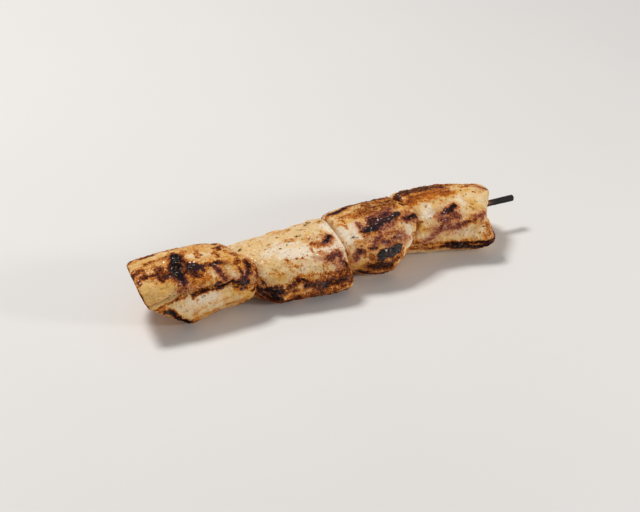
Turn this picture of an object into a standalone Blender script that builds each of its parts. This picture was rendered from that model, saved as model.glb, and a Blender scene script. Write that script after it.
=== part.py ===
"""A grilled chicken kebab: four chunks of chicken breast threaded on a round wooden skewer, at real size.

Everything is in metres. X runs along the skewer, from the end that is buried in the first chunk to the
end that sticks out, Y runs from the front (-Y) to the back (+Y), and Z is up. The kebab lies on the plane
Z = 0, and the origin is under the middle of it.

Each chunk starts as a cube cut into a grid. Its cross-section follows a few stations, each a rounded box
with its own size and centre, and its two ends follow parting surfaces that it shares with its neighbours.
A Subdivision Surface turns the grid into meat, and Booleans cut the folds and the channel that the skewer
runs in.
"""

import math
from collections import namedtuple

import bmesh
import bpy
from mathutils import Vector, noise

MM = 0.001

# Driving dimensions
SKEWER_RADIUS = 1.5 * MM
SKEWER_HEIGHT = 14.0 * MM  # of the skewer's axis over the plane that the kebab lies on
SKEWER_TIP_X = -80.0 * MM  # the sharp end, buried in the first chunk
SKEWER_END_X = 91.0 * MM  # the sawn end, in the open
SKEWER_POINT_LENGTH = 9.0 * MM
SKEWER_END_BEVEL = 0.4 * MM
SKEWER_SIDES = 24

LEFT_END_X = -91.3 * MM
FIRST_JOIN_X = -45.0 * MM
SECOND_JOIN_X = 0.0
THIRD_JOIN_X = 32.5 * MM
RIGHT_END_X = 69.0 * MM

FIT_GAP = 0.3 * MM  # between touching pieces
FOLD_OVERSHOOT = 6.0 * MM  # how far a fold's cutter stands out of the meat
FOLD_OUTER_SHARE = 1.6  # of the fold's width, where its cutter stands out
FOLD_INNER_SHARE = 0.12  # of the fold's width, where it ends inside
FOLD_END_DEPTH = 0.45  # of the fold's full depth, at its two ends
SECTION_POWER = 2.6  # 2 is an ellipse, and more is squarer
SAG = 1.1  # how much further the lower half of a section reaches, before the surface below flattens it
LUMP_RISE = 0.7  # of the chunks' uneven surface, in millimetres
LUMPS_ALONG = 4.0  # about how many in the length of a chunk
LUMPS_ACROSS = 1.3
END_ROUNDING = 0.8  # of a full quarter round
CELL_LENGTH = 4.0 * MM  # of the grid that a chunk starts as
CELLS_ACROSS = 5
FOLD_CELLS = 8

# One cross-section: its place along the chunk, from 0 to 1, and its half width, half height and centre,
# in millimetres
Station = namedtuple("Station", "at half_width half_height centre_y centre_z")
# A swelling, or a hollow if its rise is negative: its place along, its angle round the chunk in degrees
# (0 is the front, 90 the top and 180 the back), its reach along as a share, its reach round in degrees,
# and its rise in millimetres
Swelling = namedtuple("Swelling", "at angle reach_along reach_round rise")
# A fold line: where it starts and ends along X, its height there, how deep and wide it is and by how much
# it arches in between, in millimetres, and by how many degrees it climbs inwards
Fold = namedtuple("Fold", "start end start_z end_z depth mouth arch climb")
Chunk = namedtuple("Chunk", "name left right left_fillet right_fillet stations swellings folds seed")


def smooth_step(low, high, value):
    """0 below low, 1 above high, and a smooth climb in between."""
    share = min(max((value - low) / (high - low), 0.0), 1.0)
    return share * share * (3.0 - 2.0 * share)


def hump(value, middle, reach):
    return math.exp(-(((value - middle) / reach) ** 2))


# The surfaces that part the chunks. Each gives X for a place (y, z) of the cross-section.


def left_end(y, z):
    """The free end of the first chunk: undercut below its thin upper fold, and rounded off at the back."""
    lip = 1.4 * MM * smooth_step(21.0 * MM, 15.0 * MM, z)
    step = 8.2 * MM * smooth_step(13.4 * MM, 10.2 * MM, z)
    slope = 9.5 * MM * smooth_step(12.5 * MM, 1.0 * MM, z)
    round_back = 8.0 * MM * smooth_step(2.0 * MM, 15.0 * MM, y)
    return LEFT_END_X + lip + step + slope + round_back


def first_join(y, z):
    """The first chunk reaches further along the front than along the back, most of all at its upper fold."""
    flap = 3.5 * MM * smooth_step(12.5 * MM, 20.0 * MM, z)
    tuck = 2.0 * MM * smooth_step(9.0 * MM, 2.0 * MM, z)
    return FIRST_JOIN_X - 5.0 * MM * math.tanh((y + 7.0 * MM) / (8.0 * MM)) + flap - tuck


def second_join(y, z):
    """Nearly square to the skewer, with the second chunk's lower lobe pushed out."""
    lobe = 4.0 * MM * smooth_step(15.0 * MM, 4.0 * MM, z) * smooth_step(4.0 * MM, -8.0 * MM, y)
    return SECOND_JOIN_X + lobe


def third_join(y, z):
    """The third chunk's upper flap leans over the fourth."""
    flap = 6.0 * MM * hump(y, -9.0 * MM, 7.0 * MM) * smooth_step(12.0 * MM, 21.0 * MM, z)
    return THIRD_JOIN_X + flap


def right_end(y, z):
    """The other free end: a slanting cut, longer at the back and the top, with a lobe at the lower front."""
    top = 0.7 + 0.3 * smooth_step(6.0 * MM, 20.0 * MM, z)
    slant = 9.0 * MM * top * smooth_step(-14.0 * MM, 0.0, y)
    lobe = 4.5 * MM * hump(z, 9.0 * MM, 5.0 * MM) * smooth_step(-7.0 * MM, -15.0 * MM, y)
    return RIGHT_END_X + slant + lobe


CHUNKS = (
    Chunk(
        name="chicken_chunk_1",
        left=left_end,
        right=first_join,
        left_fillet=2.0,
        right_fillet=2.5,
        stations=(
            Station(0.00, 16.0, 12.0, -3.5, 12.6),
            Station(0.25, 17.0, 12.8, -3.5, 12.4),
            Station(0.50, 17.6, 13.0, -3.4, 12.5),
            Station(0.78, 16.4, 12.8, -3.2, 12.2),
            Station(1.00, 15.6, 11.0, -4.0, 12.4),
        ),
        swellings=(
            Swelling(0.55, 95.0, 0.35, 30.0, 0.6),
            Swelling(0.80, 45.0, 0.22, 30.0, 1.0),
            Swelling(0.68, -30.0, 0.34, 28.0, -2.8),
            Swelling(0.08, -38.0, 0.18, 22.0, 2.2),
            Swelling(0.40, 190.0, 0.25, 30.0, 1.2),
        ),
        folds=(Fold(-94.0, -40.5, 14.0, 13.6, 8.0, 1.3, 4.6, 24.0),),
        seed=11.0,
    ),
    Chunk(
        name="chicken_chunk_2",
        left=first_join,
        right=second_join,
        left_fillet=5.0,
        right_fillet=3.0,
        stations=(
            Station(0.00, 15.5, 10.4, -3.8, 11.0),
            Station(0.28, 16.6, 11.2, -4.6, 11.0),
            Station(0.60, 18.2, 11.2, -5.4, 11.0),
            Station(0.85, 18.8, 12.2, -5.4, 11.8),
            Station(1.00, 18.2, 12.2, -4.6, 12.2),
        ),
        swellings=(
            Swelling(0.25, 90.0, 0.20, 30.0, -0.5),
            Swelling(0.70, -20.0, 0.36, 22.0, 2.0),
            Swelling(0.62, 14.0, 0.30, 14.0, -0.8),
            Swelling(0.27, -22.0, 0.11, 24.0, 2.2),
            Swelling(0.03, -34.0, 0.13, 34.0, -5.0),
            Swelling(0.55, 175.0, 0.30, 28.0, 1.0),
        ),
        folds=(Fold(-19.0, 5.0, 8.4, 14.2, 4.0, 1.1, 0.0, 12.0),),
        seed=23.0,
    ),
    Chunk(
        name="chicken_chunk_3",
        left=second_join,
        right=third_join,
        left_fillet=1.8,
        right_fillet=2.2,
        stations=(
            Station(0.00, 16.4, 12.8, -2.6, 13.0),
            Station(0.35, 17.2, 13.3, -2.8, 12.9),
            Station(0.70, 17.0, 13.4, -2.6, 13.0),
            Station(1.00, 15.4, 13.0, -1.2, 13.6),
        ),
        swellings=(
            Swelling(0.50, 60.0, 0.35, 22.0, 0.8),
            Swelling(0.55, -10.0, 0.30, 30.0, 1.4),
            Swelling(0.15, 35.0, 0.20, 20.0, -0.9),
            Swelling(0.02, -32.0, 0.22, 30.0, -4.0),
            Swelling(0.98, -34.0, 0.26, 30.0, -3.0),
            Swelling(0.12, 118.0, 0.22, 26.0, -1.2),
            Swelling(0.55, 120.0, 0.30, 22.0, 0.9),
            Swelling(0.45, 200.0, 0.30, 26.0, 1.0),
        ),
        folds=(Fold(13.0, 42.0, 21.8, 18.0, 3.5, 1.0, 1.5, -12.0),),
        seed=37.0,
    ),
    Chunk(
        name="chicken_chunk_4",
        left=third_join,
        right=right_end,
        left_fillet=2.4,
        right_fillet=1.5,
        stations=(
            Station(0.00, 14.2, 12.8, 0.4, 13.6),
            Station(0.35, 14.8, 13.3, -0.2, 13.2),
            Station(0.65, 15.9, 12.9, -1.6, 12.6),
            Station(0.85, 16.6, 12.0, -3.2, 11.8),
            Station(1.00, 16.4, 11.0, -3.8, 11.2),
        ),
        swellings=(
            Swelling(0.30, 105.0, 0.30, 25.0, 0.9),
            Swelling(0.65, -12.0, 0.35, 24.0, 1.2),
            Swelling(0.45, -34.0, 0.60, 22.0, -1.4),
            Swelling(0.02, -30.0, 0.20, 30.0, -1.8),
            Swelling(0.60, 24.0, 0.40, 13.0, -0.9),
            Swelling(0.50, 185.0, 0.30, 28.0, 1.0),
        ),
        folds=(),
        seed=53.0,
    ),
)


def clear_scene():
    for item in list(bpy.data.objects):
        bpy.data.objects.remove(item, do_unlink=True)


def new_collection(name):
    collection = bpy.data.collections.new(name)
    bpy.context.scene.collection.children.link(collection)
    return collection


def new_material(name, colour, roughness):
    material = bpy.data.materials.new(name)
    material.use_nodes = True
    shader = material.node_tree.nodes["Principled BSDF"]
    shader.inputs["Base Color"].default_value = (*colour, 1.0)
    shader.inputs["Roughness"].default_value = roughness
    shader.inputs["Metallic"].default_value = 0.0
    return material


def new_object(name, bm, collection):
    mesh = bpy.data.meshes.new(name)
    bm.to_mesh(mesh)
    bm.free()
    item = bpy.data.objects.new(name, mesh)
    collection.objects.link(item)
    return item


def edges_along(bm, axis):
    """The edges that run along one axis."""
    return [e for e in bm.edges if abs((e.verts[0].co - e.verts[1].co).normalized()[axis]) > 0.9]


def section_at(stations, at):
    """The half width, half height and centre of the section at a place, blended between its stations."""
    for before, after in zip(stations, stations[1:]):
        if at <= after.at:
            share = smooth_step(before.at, after.at, at)
            return [a + (b - a) * share for a, b in zip(before[1:], after[1:])]
    return list(stations[-1][1:])


def square_to_polar(v, w):
    """A place on the square from -1 to 1 as a share of the radius and an angle, even round the rim."""
    reach = max(abs(v), abs(w))
    if reach < 1e-9:
        return 0.0, 0.0
    if abs(v) >= abs(w):
        angle = 45.0 * w / abs(v)
        return reach, angle if v < 0.0 else 180.0 - angle
    angle = 45.0 * v / abs(w)
    return reach, 90.0 + angle if w > 0.0 else -90.0 - angle


def angle_between(first, second):
    return abs((first - second + 180.0) % 360.0 - 180.0)


def rim_radius(chunk, at, angle):
    """How far the chunk's side is from its centre, in millimetres, with the ends not yet rounded."""
    half_width, half_height, _, _ = section_at(chunk.stations, at)
    turn = math.radians(angle)
    across = abs(math.cos(turn)) / half_width
    up = abs(math.sin(turn)) / half_height
    radius = (across**SECTION_POWER + up**SECTION_POWER) ** (-1.0 / SECTION_POWER)
    for swelling in chunk.swellings:
        near = hump(at, swelling.at, swelling.reach_along)
        radius += swelling.rise * near * hump(angle_between(angle, swelling.angle), 0.0, swelling.reach_round)
    lump_y = LUMPS_ACROSS * math.cos(turn)
    lump_z = LUMPS_ACROSS * math.sin(turn) + chunk.seed
    return radius + LUMP_RISE * noise.noise(Vector((LUMPS_ALONG * at, lump_y, lump_z)))


def fillet_drop(distance, fillet):
    """How much narrower the chunk is near an end, as a quarter round of that radius would be."""
    if distance >= fillet:
        return 0.0
    inside = 1.0 - distance / fillet
    return fillet * (1.0 - math.sqrt(1.0 - min(inside, 1.0) ** 2))


def place_on_chunk(chunk, u, v, w):
    """Where a point of the cube from -1 to 1 goes in the chunk."""
    at = 0.5 + 0.5 * math.sin(0.5 * math.pi * u)  # cells get shorter towards both ends
    reach, angle = square_to_polar(v, w)
    _, _, centre_y, centre_z = section_at(chunk.stations, at)
    length = (chunk.right(0.0, SKEWER_HEIGHT) - chunk.left(0.0, SKEWER_HEIGHT)) / MM
    drop = fillet_drop(at * length, chunk.left_fillet) + fillet_drop((1.0 - at) * length, chunk.right_fillet)
    radius = reach * (rim_radius(chunk, at, angle) - END_ROUNDING * drop)
    turn = math.radians(angle)
    rise = radius * math.sin(turn)
    y = (centre_y - radius * math.cos(turn)) * MM
    z = max((centre_z + min(rise, SAG * rise)) * MM, 0.0)
    left = chunk.left(y, z) + 0.5 * FIT_GAP
    right = chunk.right(y, z) - 0.5 * FIT_GAP
    return Vector((left + (right - left) * at, y, z))


def chunk_blank(chunk, collection, material):
    """The chunk before its folds and its channel are cut."""
    bm = bmesh.new()
    bmesh.ops.create_cube(bm, size=2.0)
    length = chunk.right(0.0, SKEWER_HEIGHT) - chunk.left(0.0, SKEWER_HEIGHT)
    for axis, cells in ((0, round(length / CELL_LENGTH)), (1, CELLS_ACROSS), (2, CELLS_ACROSS)):
        bmesh.ops.subdivide_edges(bm, edges=edges_along(bm, axis), cuts=cells - 1, use_grid_fill=True)
    for vert in bm.verts:
        vert.co = place_on_chunk(chunk, *vert.co)
    item = new_object(chunk.name, bm, collection)
    item.data.materials.append(material)
    item.data.shade_smooth()
    surface = item.modifiers.new("flesh", "SUBSURF")
    surface.levels = 1
    surface.render_levels = 1
    return item


def hide_cutter(item):
    item.hide_render = True
    item.display_type = "WIRE"
    return item


def fold_cutter(chunk, fold, number, collection):
    """A thin wedge that follows the fold line and points into the chunk."""
    bm = bmesh.new()
    bmesh.ops.create_cube(bm, size=1.0)
    bmesh.ops.subdivide_edges(bm, edges=edges_along(bm, 0), cuts=FOLD_CELLS - 1, use_grid_fill=True)
    climb = math.tan(math.radians(fold.climb))
    for vert in bm.verts:
        share = vert.co.x + 0.5
        bow = math.sin(math.pi * share)
        x = (fold.start + (fold.end - fold.start) * share) * MM
        z = (fold.start_z + (fold.end_z - fold.start_z) * share + fold.arch * bow) * MM
        front_y = front_of(chunk, x, z)
        if vert.co.y > 0.0:
            inward = fold.depth * MM * (FOLD_END_DEPTH + (1.0 - FOLD_END_DEPTH) * bow)
            width = fold.mouth * MM * FOLD_INNER_SHARE
        else:
            inward = -FOLD_OVERSHOOT
            width = fold.mouth * MM * FOLD_OUTER_SHARE
        vert.co = Vector((x, front_y + inward, z + inward * climb + vert.co.z * width))
    return hide_cutter(new_object(f"fold_cutter_{chunk.name}_{number}", bm, collection))


def front_of(chunk, x, z):
    """Y of the chunk's front at a place along it and a height, both in metres."""
    left = chunk.left(-15.0 * MM, z)
    right = chunk.right(-15.0 * MM, z)
    at = min(max((x - left) / (right - left), 0.0), 1.0)
    _, _, centre_y, centre_z = section_at(chunk.stations, at)
    rise = z / MM - centre_z
    angle = 0.0
    for _ in range(4):
        angle = math.degrees(math.asin(min(max(rise / rim_radius(chunk, at, angle), -0.98), 0.98)))
    return (centre_y - rim_radius(chunk, at, angle) * math.cos(math.radians(angle))) * MM


def channel_cutter(collection):
    """The channel that the skewer runs in."""
    start = SKEWER_TIP_X - 1.0 * MM
    end = SKEWER_END_X
    bm = bmesh.new()
    bmesh.ops.create_cone(
        bm,
        cap_ends=True,
        segments=SKEWER_SIDES,
        radius1=SKEWER_RADIUS + FIT_GAP,
        radius2=SKEWER_RADIUS + FIT_GAP,
        depth=end - start,
    )
    item = hide_cutter(new_object("channel_cutter", bm, collection))
    item.rotation_euler = (0.0, math.radians(90.0), 0.0)
    item.location = (0.5 * (start + end), 0.0, SKEWER_HEIGHT)
    return item


def cut(item, cutter):
    boolean = item.modifiers.new(cutter.name, "BOOLEAN")
    boolean.operation = "DIFFERENCE"
    boolean.object = cutter


def build_skewer(collection, material):
    """A turned stick: a long point, a straight shaft, and a sawn end with its edge worn off."""
    profile = (
        (0.0, SKEWER_TIP_X),
        (SKEWER_RADIUS, SKEWER_TIP_X + SKEWER_POINT_LENGTH),
        (SKEWER_RADIUS, SKEWER_END_X - SKEWER_END_BEVEL),
        (SKEWER_RADIUS - SKEWER_END_BEVEL, SKEWER_END_X),
        (0.0, SKEWER_END_X),
    )
    bm = bmesh.new()
    points = [bm.verts.new((radius, 0.0, along)) for radius, along in reversed(profile)]
    for first, second in zip(points, points[1:]):
        bm.edges.new((first, second))
    item = new_object("skewer_stick", bm, collection)
    item.data.materials.append(material)
    turned = item.modifiers.new("turned", "SCREW")
    turned.axis = "Z"
    turned.steps = SKEWER_SIDES
    turned.render_steps = SKEWER_SIDES
    turned.use_merge_vertices = True
    turned.merge_threshold = 0.01 * MM
    turned.use_smooth_shade = True
    item.rotation_euler = (0.0, math.radians(90.0), 0.0)
    item.location = (0.0, 0.0, SKEWER_HEIGHT)
    return item


def centre_on_origin(kebab, cutters):
    """Moves everything along X and Y, so that the origin is under the middle of the kebab's box."""
    bpy.context.view_layer.update()
    graph = bpy.context.evaluated_depsgraph_get()
    corners = [item.matrix_world @ Vector(c) for item in kebab for c in item.evaluated_get(graph).bound_box]
    middle = [0.5 * (min(c[axis] for c in corners) + max(c[axis] for c in corners)) for axis in (0, 1)]
    for item in kebab + cutters:
        item.location.x -= middle[0]
        item.location.y -= middle[1]


def main():
    clear_scene()
    kebab = new_collection("chicken_kebab_skewer")
    cutters = new_collection("cutters")
    chicken = new_material("grilled_chicken", (0.62, 0.40, 0.18), 0.45)
    wood = new_material("charred_skewer_wood", (0.10, 0.07, 0.05), 0.75)
    channel = channel_cutter(cutters)
    for chunk in CHUNKS:
        item = chunk_blank(chunk, kebab, chicken)
        for number, fold in enumerate(chunk.folds, 1):
            cut(item, fold_cutter(chunk, fold, number, cutters))
        cut(item, channel)
    build_skewer(kebab, wood)
    centre_on_origin(list(kebab.objects), list(cutters.objects))


main()
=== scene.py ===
import itertools
import math
import random
from collections import namedtuple

import bmesh
import bpy
import numpy as np
from mathutils import Matrix, Vector
from mathutils.bvhtree import BVHTree


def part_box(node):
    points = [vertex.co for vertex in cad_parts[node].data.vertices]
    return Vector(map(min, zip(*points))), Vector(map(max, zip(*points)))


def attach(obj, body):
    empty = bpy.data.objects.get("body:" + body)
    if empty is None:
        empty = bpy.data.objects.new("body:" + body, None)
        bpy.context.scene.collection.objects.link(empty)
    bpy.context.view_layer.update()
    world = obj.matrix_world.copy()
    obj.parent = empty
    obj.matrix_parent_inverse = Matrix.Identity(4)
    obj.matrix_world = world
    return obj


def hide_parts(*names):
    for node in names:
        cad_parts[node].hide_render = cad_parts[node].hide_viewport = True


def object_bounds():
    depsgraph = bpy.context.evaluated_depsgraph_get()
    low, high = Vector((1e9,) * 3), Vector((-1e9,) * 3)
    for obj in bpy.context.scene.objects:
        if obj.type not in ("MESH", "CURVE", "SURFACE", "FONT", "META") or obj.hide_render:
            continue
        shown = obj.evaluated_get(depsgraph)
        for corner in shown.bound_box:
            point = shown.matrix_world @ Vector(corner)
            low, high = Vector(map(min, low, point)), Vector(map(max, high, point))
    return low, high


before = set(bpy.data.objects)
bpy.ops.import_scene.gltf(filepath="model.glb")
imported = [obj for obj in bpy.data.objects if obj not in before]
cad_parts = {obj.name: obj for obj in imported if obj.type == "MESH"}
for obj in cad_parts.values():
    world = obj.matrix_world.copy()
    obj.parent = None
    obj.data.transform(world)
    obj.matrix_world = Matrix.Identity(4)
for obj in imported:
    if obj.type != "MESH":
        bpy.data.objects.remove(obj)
cad_low, cad_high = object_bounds()

# A grilled chicken kebab: four chunks of browned meat with herbs and pepper on them, on a charred skewer.
# Lengths are in millimetres and become metres on their way into a mesh. A place on a chunk is a pair: x along
# the skewer, and the angle round the meat's middle line in degrees, 0 at the front, 90 on top, 180 at the back.

MM = 0.001
BODY = "root"

SKIN_CELL = 0.3  # between neighbouring points of the meat's skin
SOFTENING_ROUNDS = 10
MIDDLE_Y = 1.8  # the meat's middle line
MIDDLE_Z = 12.5
ARC = 0.29  # of surface to one degree round a chunk
LISTS_START = 0.65  # where the x of the lists below is 0

STICK_Y = 4.8
STICK_Z = 14.0
STICK_RADIUS = 1.5
CHANNEL_REACH = 2.4  # from the skewer's axis, inside which the meat stays as it was cut

# A mark that the grill left on the meat, or a tint in it; the pale tint is partly painted sheen. Strength is from 0
# to 1 and reach is half its width.
Mark = namedtuple("Mark", "kind strength reach path")
# A chunk's finish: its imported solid, how browned, golden and pale it is all over, how far its grain turns out of
# the skewer's direction in degrees, the seed of its unevenness, and its marks
Finish = namedtuple("Finish", "node roast gold pale grain_turn seed marks")
# A bit of herb: its middle, the way it points in degrees out of the skewer's direction, its length and width
Sprig = namedtuple("Sprig", "node x angle heading length width")

FIRST_MARKS = (
    # the black crust on top, the scorched meat under it and the reddened end of it
    Mark("crust", 1.0, 3.0, ((-71.2, 96), (-71.8, 86), (-72.8, 72))),
    Mark("crust", 0.94, 2.9, ((-73.4, 66), (-73.4, 50))),
    Mark("roast", 1.0, 3.0, ((-71.2, 92), (-72.6, 72))),
    Mark("roast", 0.96, 3.3, ((-73.8, 66), (-73.6, 48))),
    Mark("roast", 0.80, 1.9, ((-73.6, 46), (-72.6, 36))),
    Mark("roast", 0.74, 1.6, ((-71, 52), (-67.5, 48))),
    Mark("plum", 0.70, 1.6, ((-73.0, 44), (-72.0, 35))),
    # the blister beside it, and the dark band that leads away to the right
    Mark("roast", 0.86, 1.3, ((-69, 76), (-67.5, 70))),
    Mark("blister", 1.0, 1.7, ((-66.5, 57), (-65, 57))),
    Mark("roast", 0.64, 1.8, ((-69, 57), (-67, 44), (-64.5, 42))),
    Mark("roast", 0.76, 1.5, ((-67, 65), (-63, 57), (-58.5, 55), (-55, 57), (-52.5, 53))),
    Mark("roast", 0.78, 1.3, ((-57.5, 56), (-54.5, 54))),
    Mark("plum", 0.74, 1.0, ((-58, 50), (-57, 44), (-56, 36), (-54.5, 28))),
    Mark("roast", 0.55, 1.4, ((-63.5, 50), (-61.5, 45))),
    Mark("calm", 0.7, 2.2, ((-68, 36), (-62, 34))),
    Mark("roast", 0.36, 2.0, ((-68, 36), (-62, 34))),
    # the red-brown smear and the patches of the left end
    Mark("roast", 0.56, 1.8, ((-85.6, 63), (-83, 59), (-80, 57), (-76.5, 54))),
    Mark("roast", 0.66, 0.9, ((-85.0, 62), (-82.5, 58), (-80, 55))),
    Mark("roast", 0.52, 1.0, ((-80, 62), (-77, 60))),
    Mark("gold", 0.9, 1.4, ((-89.5, 66), (-88.4, 72), (-86, 76))),
    Mark("roast", 0.56, 0.8, ((-92.5, 80), (-89.8, 85))),
    Mark("roast", 0.30, 1.6, ((-88, 90), (-84, 92))),
    Mark("roast", 0.44, 2.0, ((-82, 82), (-79.5, 68))),
    Mark("roast", 0.38, 1.5, ((-80, 96), (-76, 98))),
    # golden and pale meat between them
    Mark("gold", 0.6, 3.4, ((-87, 42), (-86, 22))),
    Mark("gold", 0.5, 2.6, ((-79, 30), (-76, 36))),
    Mark("calm", 1.0, 4.6, ((-88, 36), (-86, 18), (-80, 26))),
    Mark("calm", 0.9, 5.0, ((-76, 0), (-64, 0), (-54, -2))),
    Mark("calm", 0.8, 3.4, ((-72, -20), (-56, -20), (-46, -14))),
    Mark("calm", 0.7, 2.6, ((-90, 100), (-82, 112), (-72, 116))),
    Mark("gold", 0.6, 3.2, ((-54, 76), (-49, 60), (-46, 50))),
    Mark("pale", 0.6, 2.2, ((-66, 86), (-58, 84))),
    Mark("pale", 0.5, 1.6, ((-61, 38), (-58.5, 40))),
    Mark("pale", 0.5, 1.7, ((-52.5, 40), (-51, 30))),
    # streaks above the long fold
    Mark("roast", 0.36, 1.0, ((-71, 31), (-66, 31), (-61, 31))),
    Mark("roast", 0.42, 0.6, ((-70, 26), (-65, 28))),
    # the pink streak is partly painted highlight: a glossy pink-white line along the fold, over a pinkish tint
    Mark("pink", 0.55, 0.8, ((-77, 27), (-72, 25), (-69, 27), (-65, 27))),
    Mark("pink", 0.5, 0.8, ((-56, 24), (-52, 27), (-48, 28))),
    Mark("roast", 0.80, 0.8, ((-59.5, 24), (-57.5, 24))),
    # the long fold itself
    Mark("roast", 0.55, 0.5, ((-88, 3), (-85, 7), (-81, 12), (-77, 16), (-72.5, 18))),
    Mark("roast", 0.78, 1.1, ((-70, 16), (-67, 18), (-63.5, 18))),
    Mark("roast", 0.74, 0.7, ((-63.5, 18), (-60.5, 19), (-58, 19))),
    Mark("roast", 0.94, 0.7, ((-58, 19), (-54, 21), (-52, 22), (-49.5, 18))),
    Mark("blister", 0.95, 1.1, ((-48, 16), (-46.5, 15))),
    # the right end: a chain of brown spots, a dark blob and the reddened rim of the flap
    Mark("roast", 0.66, 0.7, ((-49.5, 49), (-48, 40), (-47.5, 31), (-47.5, 22))),
    Mark("roast", 0.82, 1.9, ((-44, 47), (-43.6, 38), (-44.2, 31))),
    Mark("plum", 0.78, 1.0, ((-44.5, 30), (-46, 26), (-47, 21))),
    Mark("roast", 0.50, 0.7, ((-40.5, 46), (-40, 34), (-41, 22), (-42, 12))),
    Mark("pink", 0.6, 1.3, ((-43, 24), (-43.5, 13))),
    Mark("roast", 0.60, 0.8, ((-42, 8), (-42.5, 0))),
    Mark("olive", 0.5, 1.0, ((-53, 48), (-51.5, 48))),
    # below the fold, where the pale marks are pale meat with painted sheen on it
    Mark("roast", 0.40, 1.0, ((-89, 6), (-85, 5))),
    Mark("pale", 0.7, 2.8, ((-70, 9), (-60, 7))),
    Mark("pale", 0.5, 2.4, ((-76, 3), (-70, -8))),
    Mark("pale", 0.45, 2.4, ((-66, -6), (-58, -8))),
    Mark("gold", 0.6, 1.0, ((-56.5, 10), (-52.5, 9))),
    Mark("roast", 0.38, 1.5, ((-49, 8), (-45, 6))),
    Mark("roast", 0.24, 1.4, ((-61, -4), (-54, -5))),
    Mark("roast", 0.97, 1.3, ((-82, 0), (-79.5, -3), (-77.5, -11), (-75, -22), (-71, -32))),
    Mark("roast", 0.30, 1.6, ((-70, -26), (-60, -24), (-50, -22))),
    # specks
    Mark("roast", 0.6, 0.5, ((-58.5, 32),)),
    Mark("roast", 0.55, 0.5, ((-76.5, 103), (-74, 104))),
    Mark("olive", 0.6, 0.5, ((-72, 122), (-69, 124))),
    Mark("olive", 0.6, 0.5, ((-66, 126), (-63, 127))),
    Mark("roast", 0.42, 0.8, ((-70, 105), (-65, 106))),
)

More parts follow.
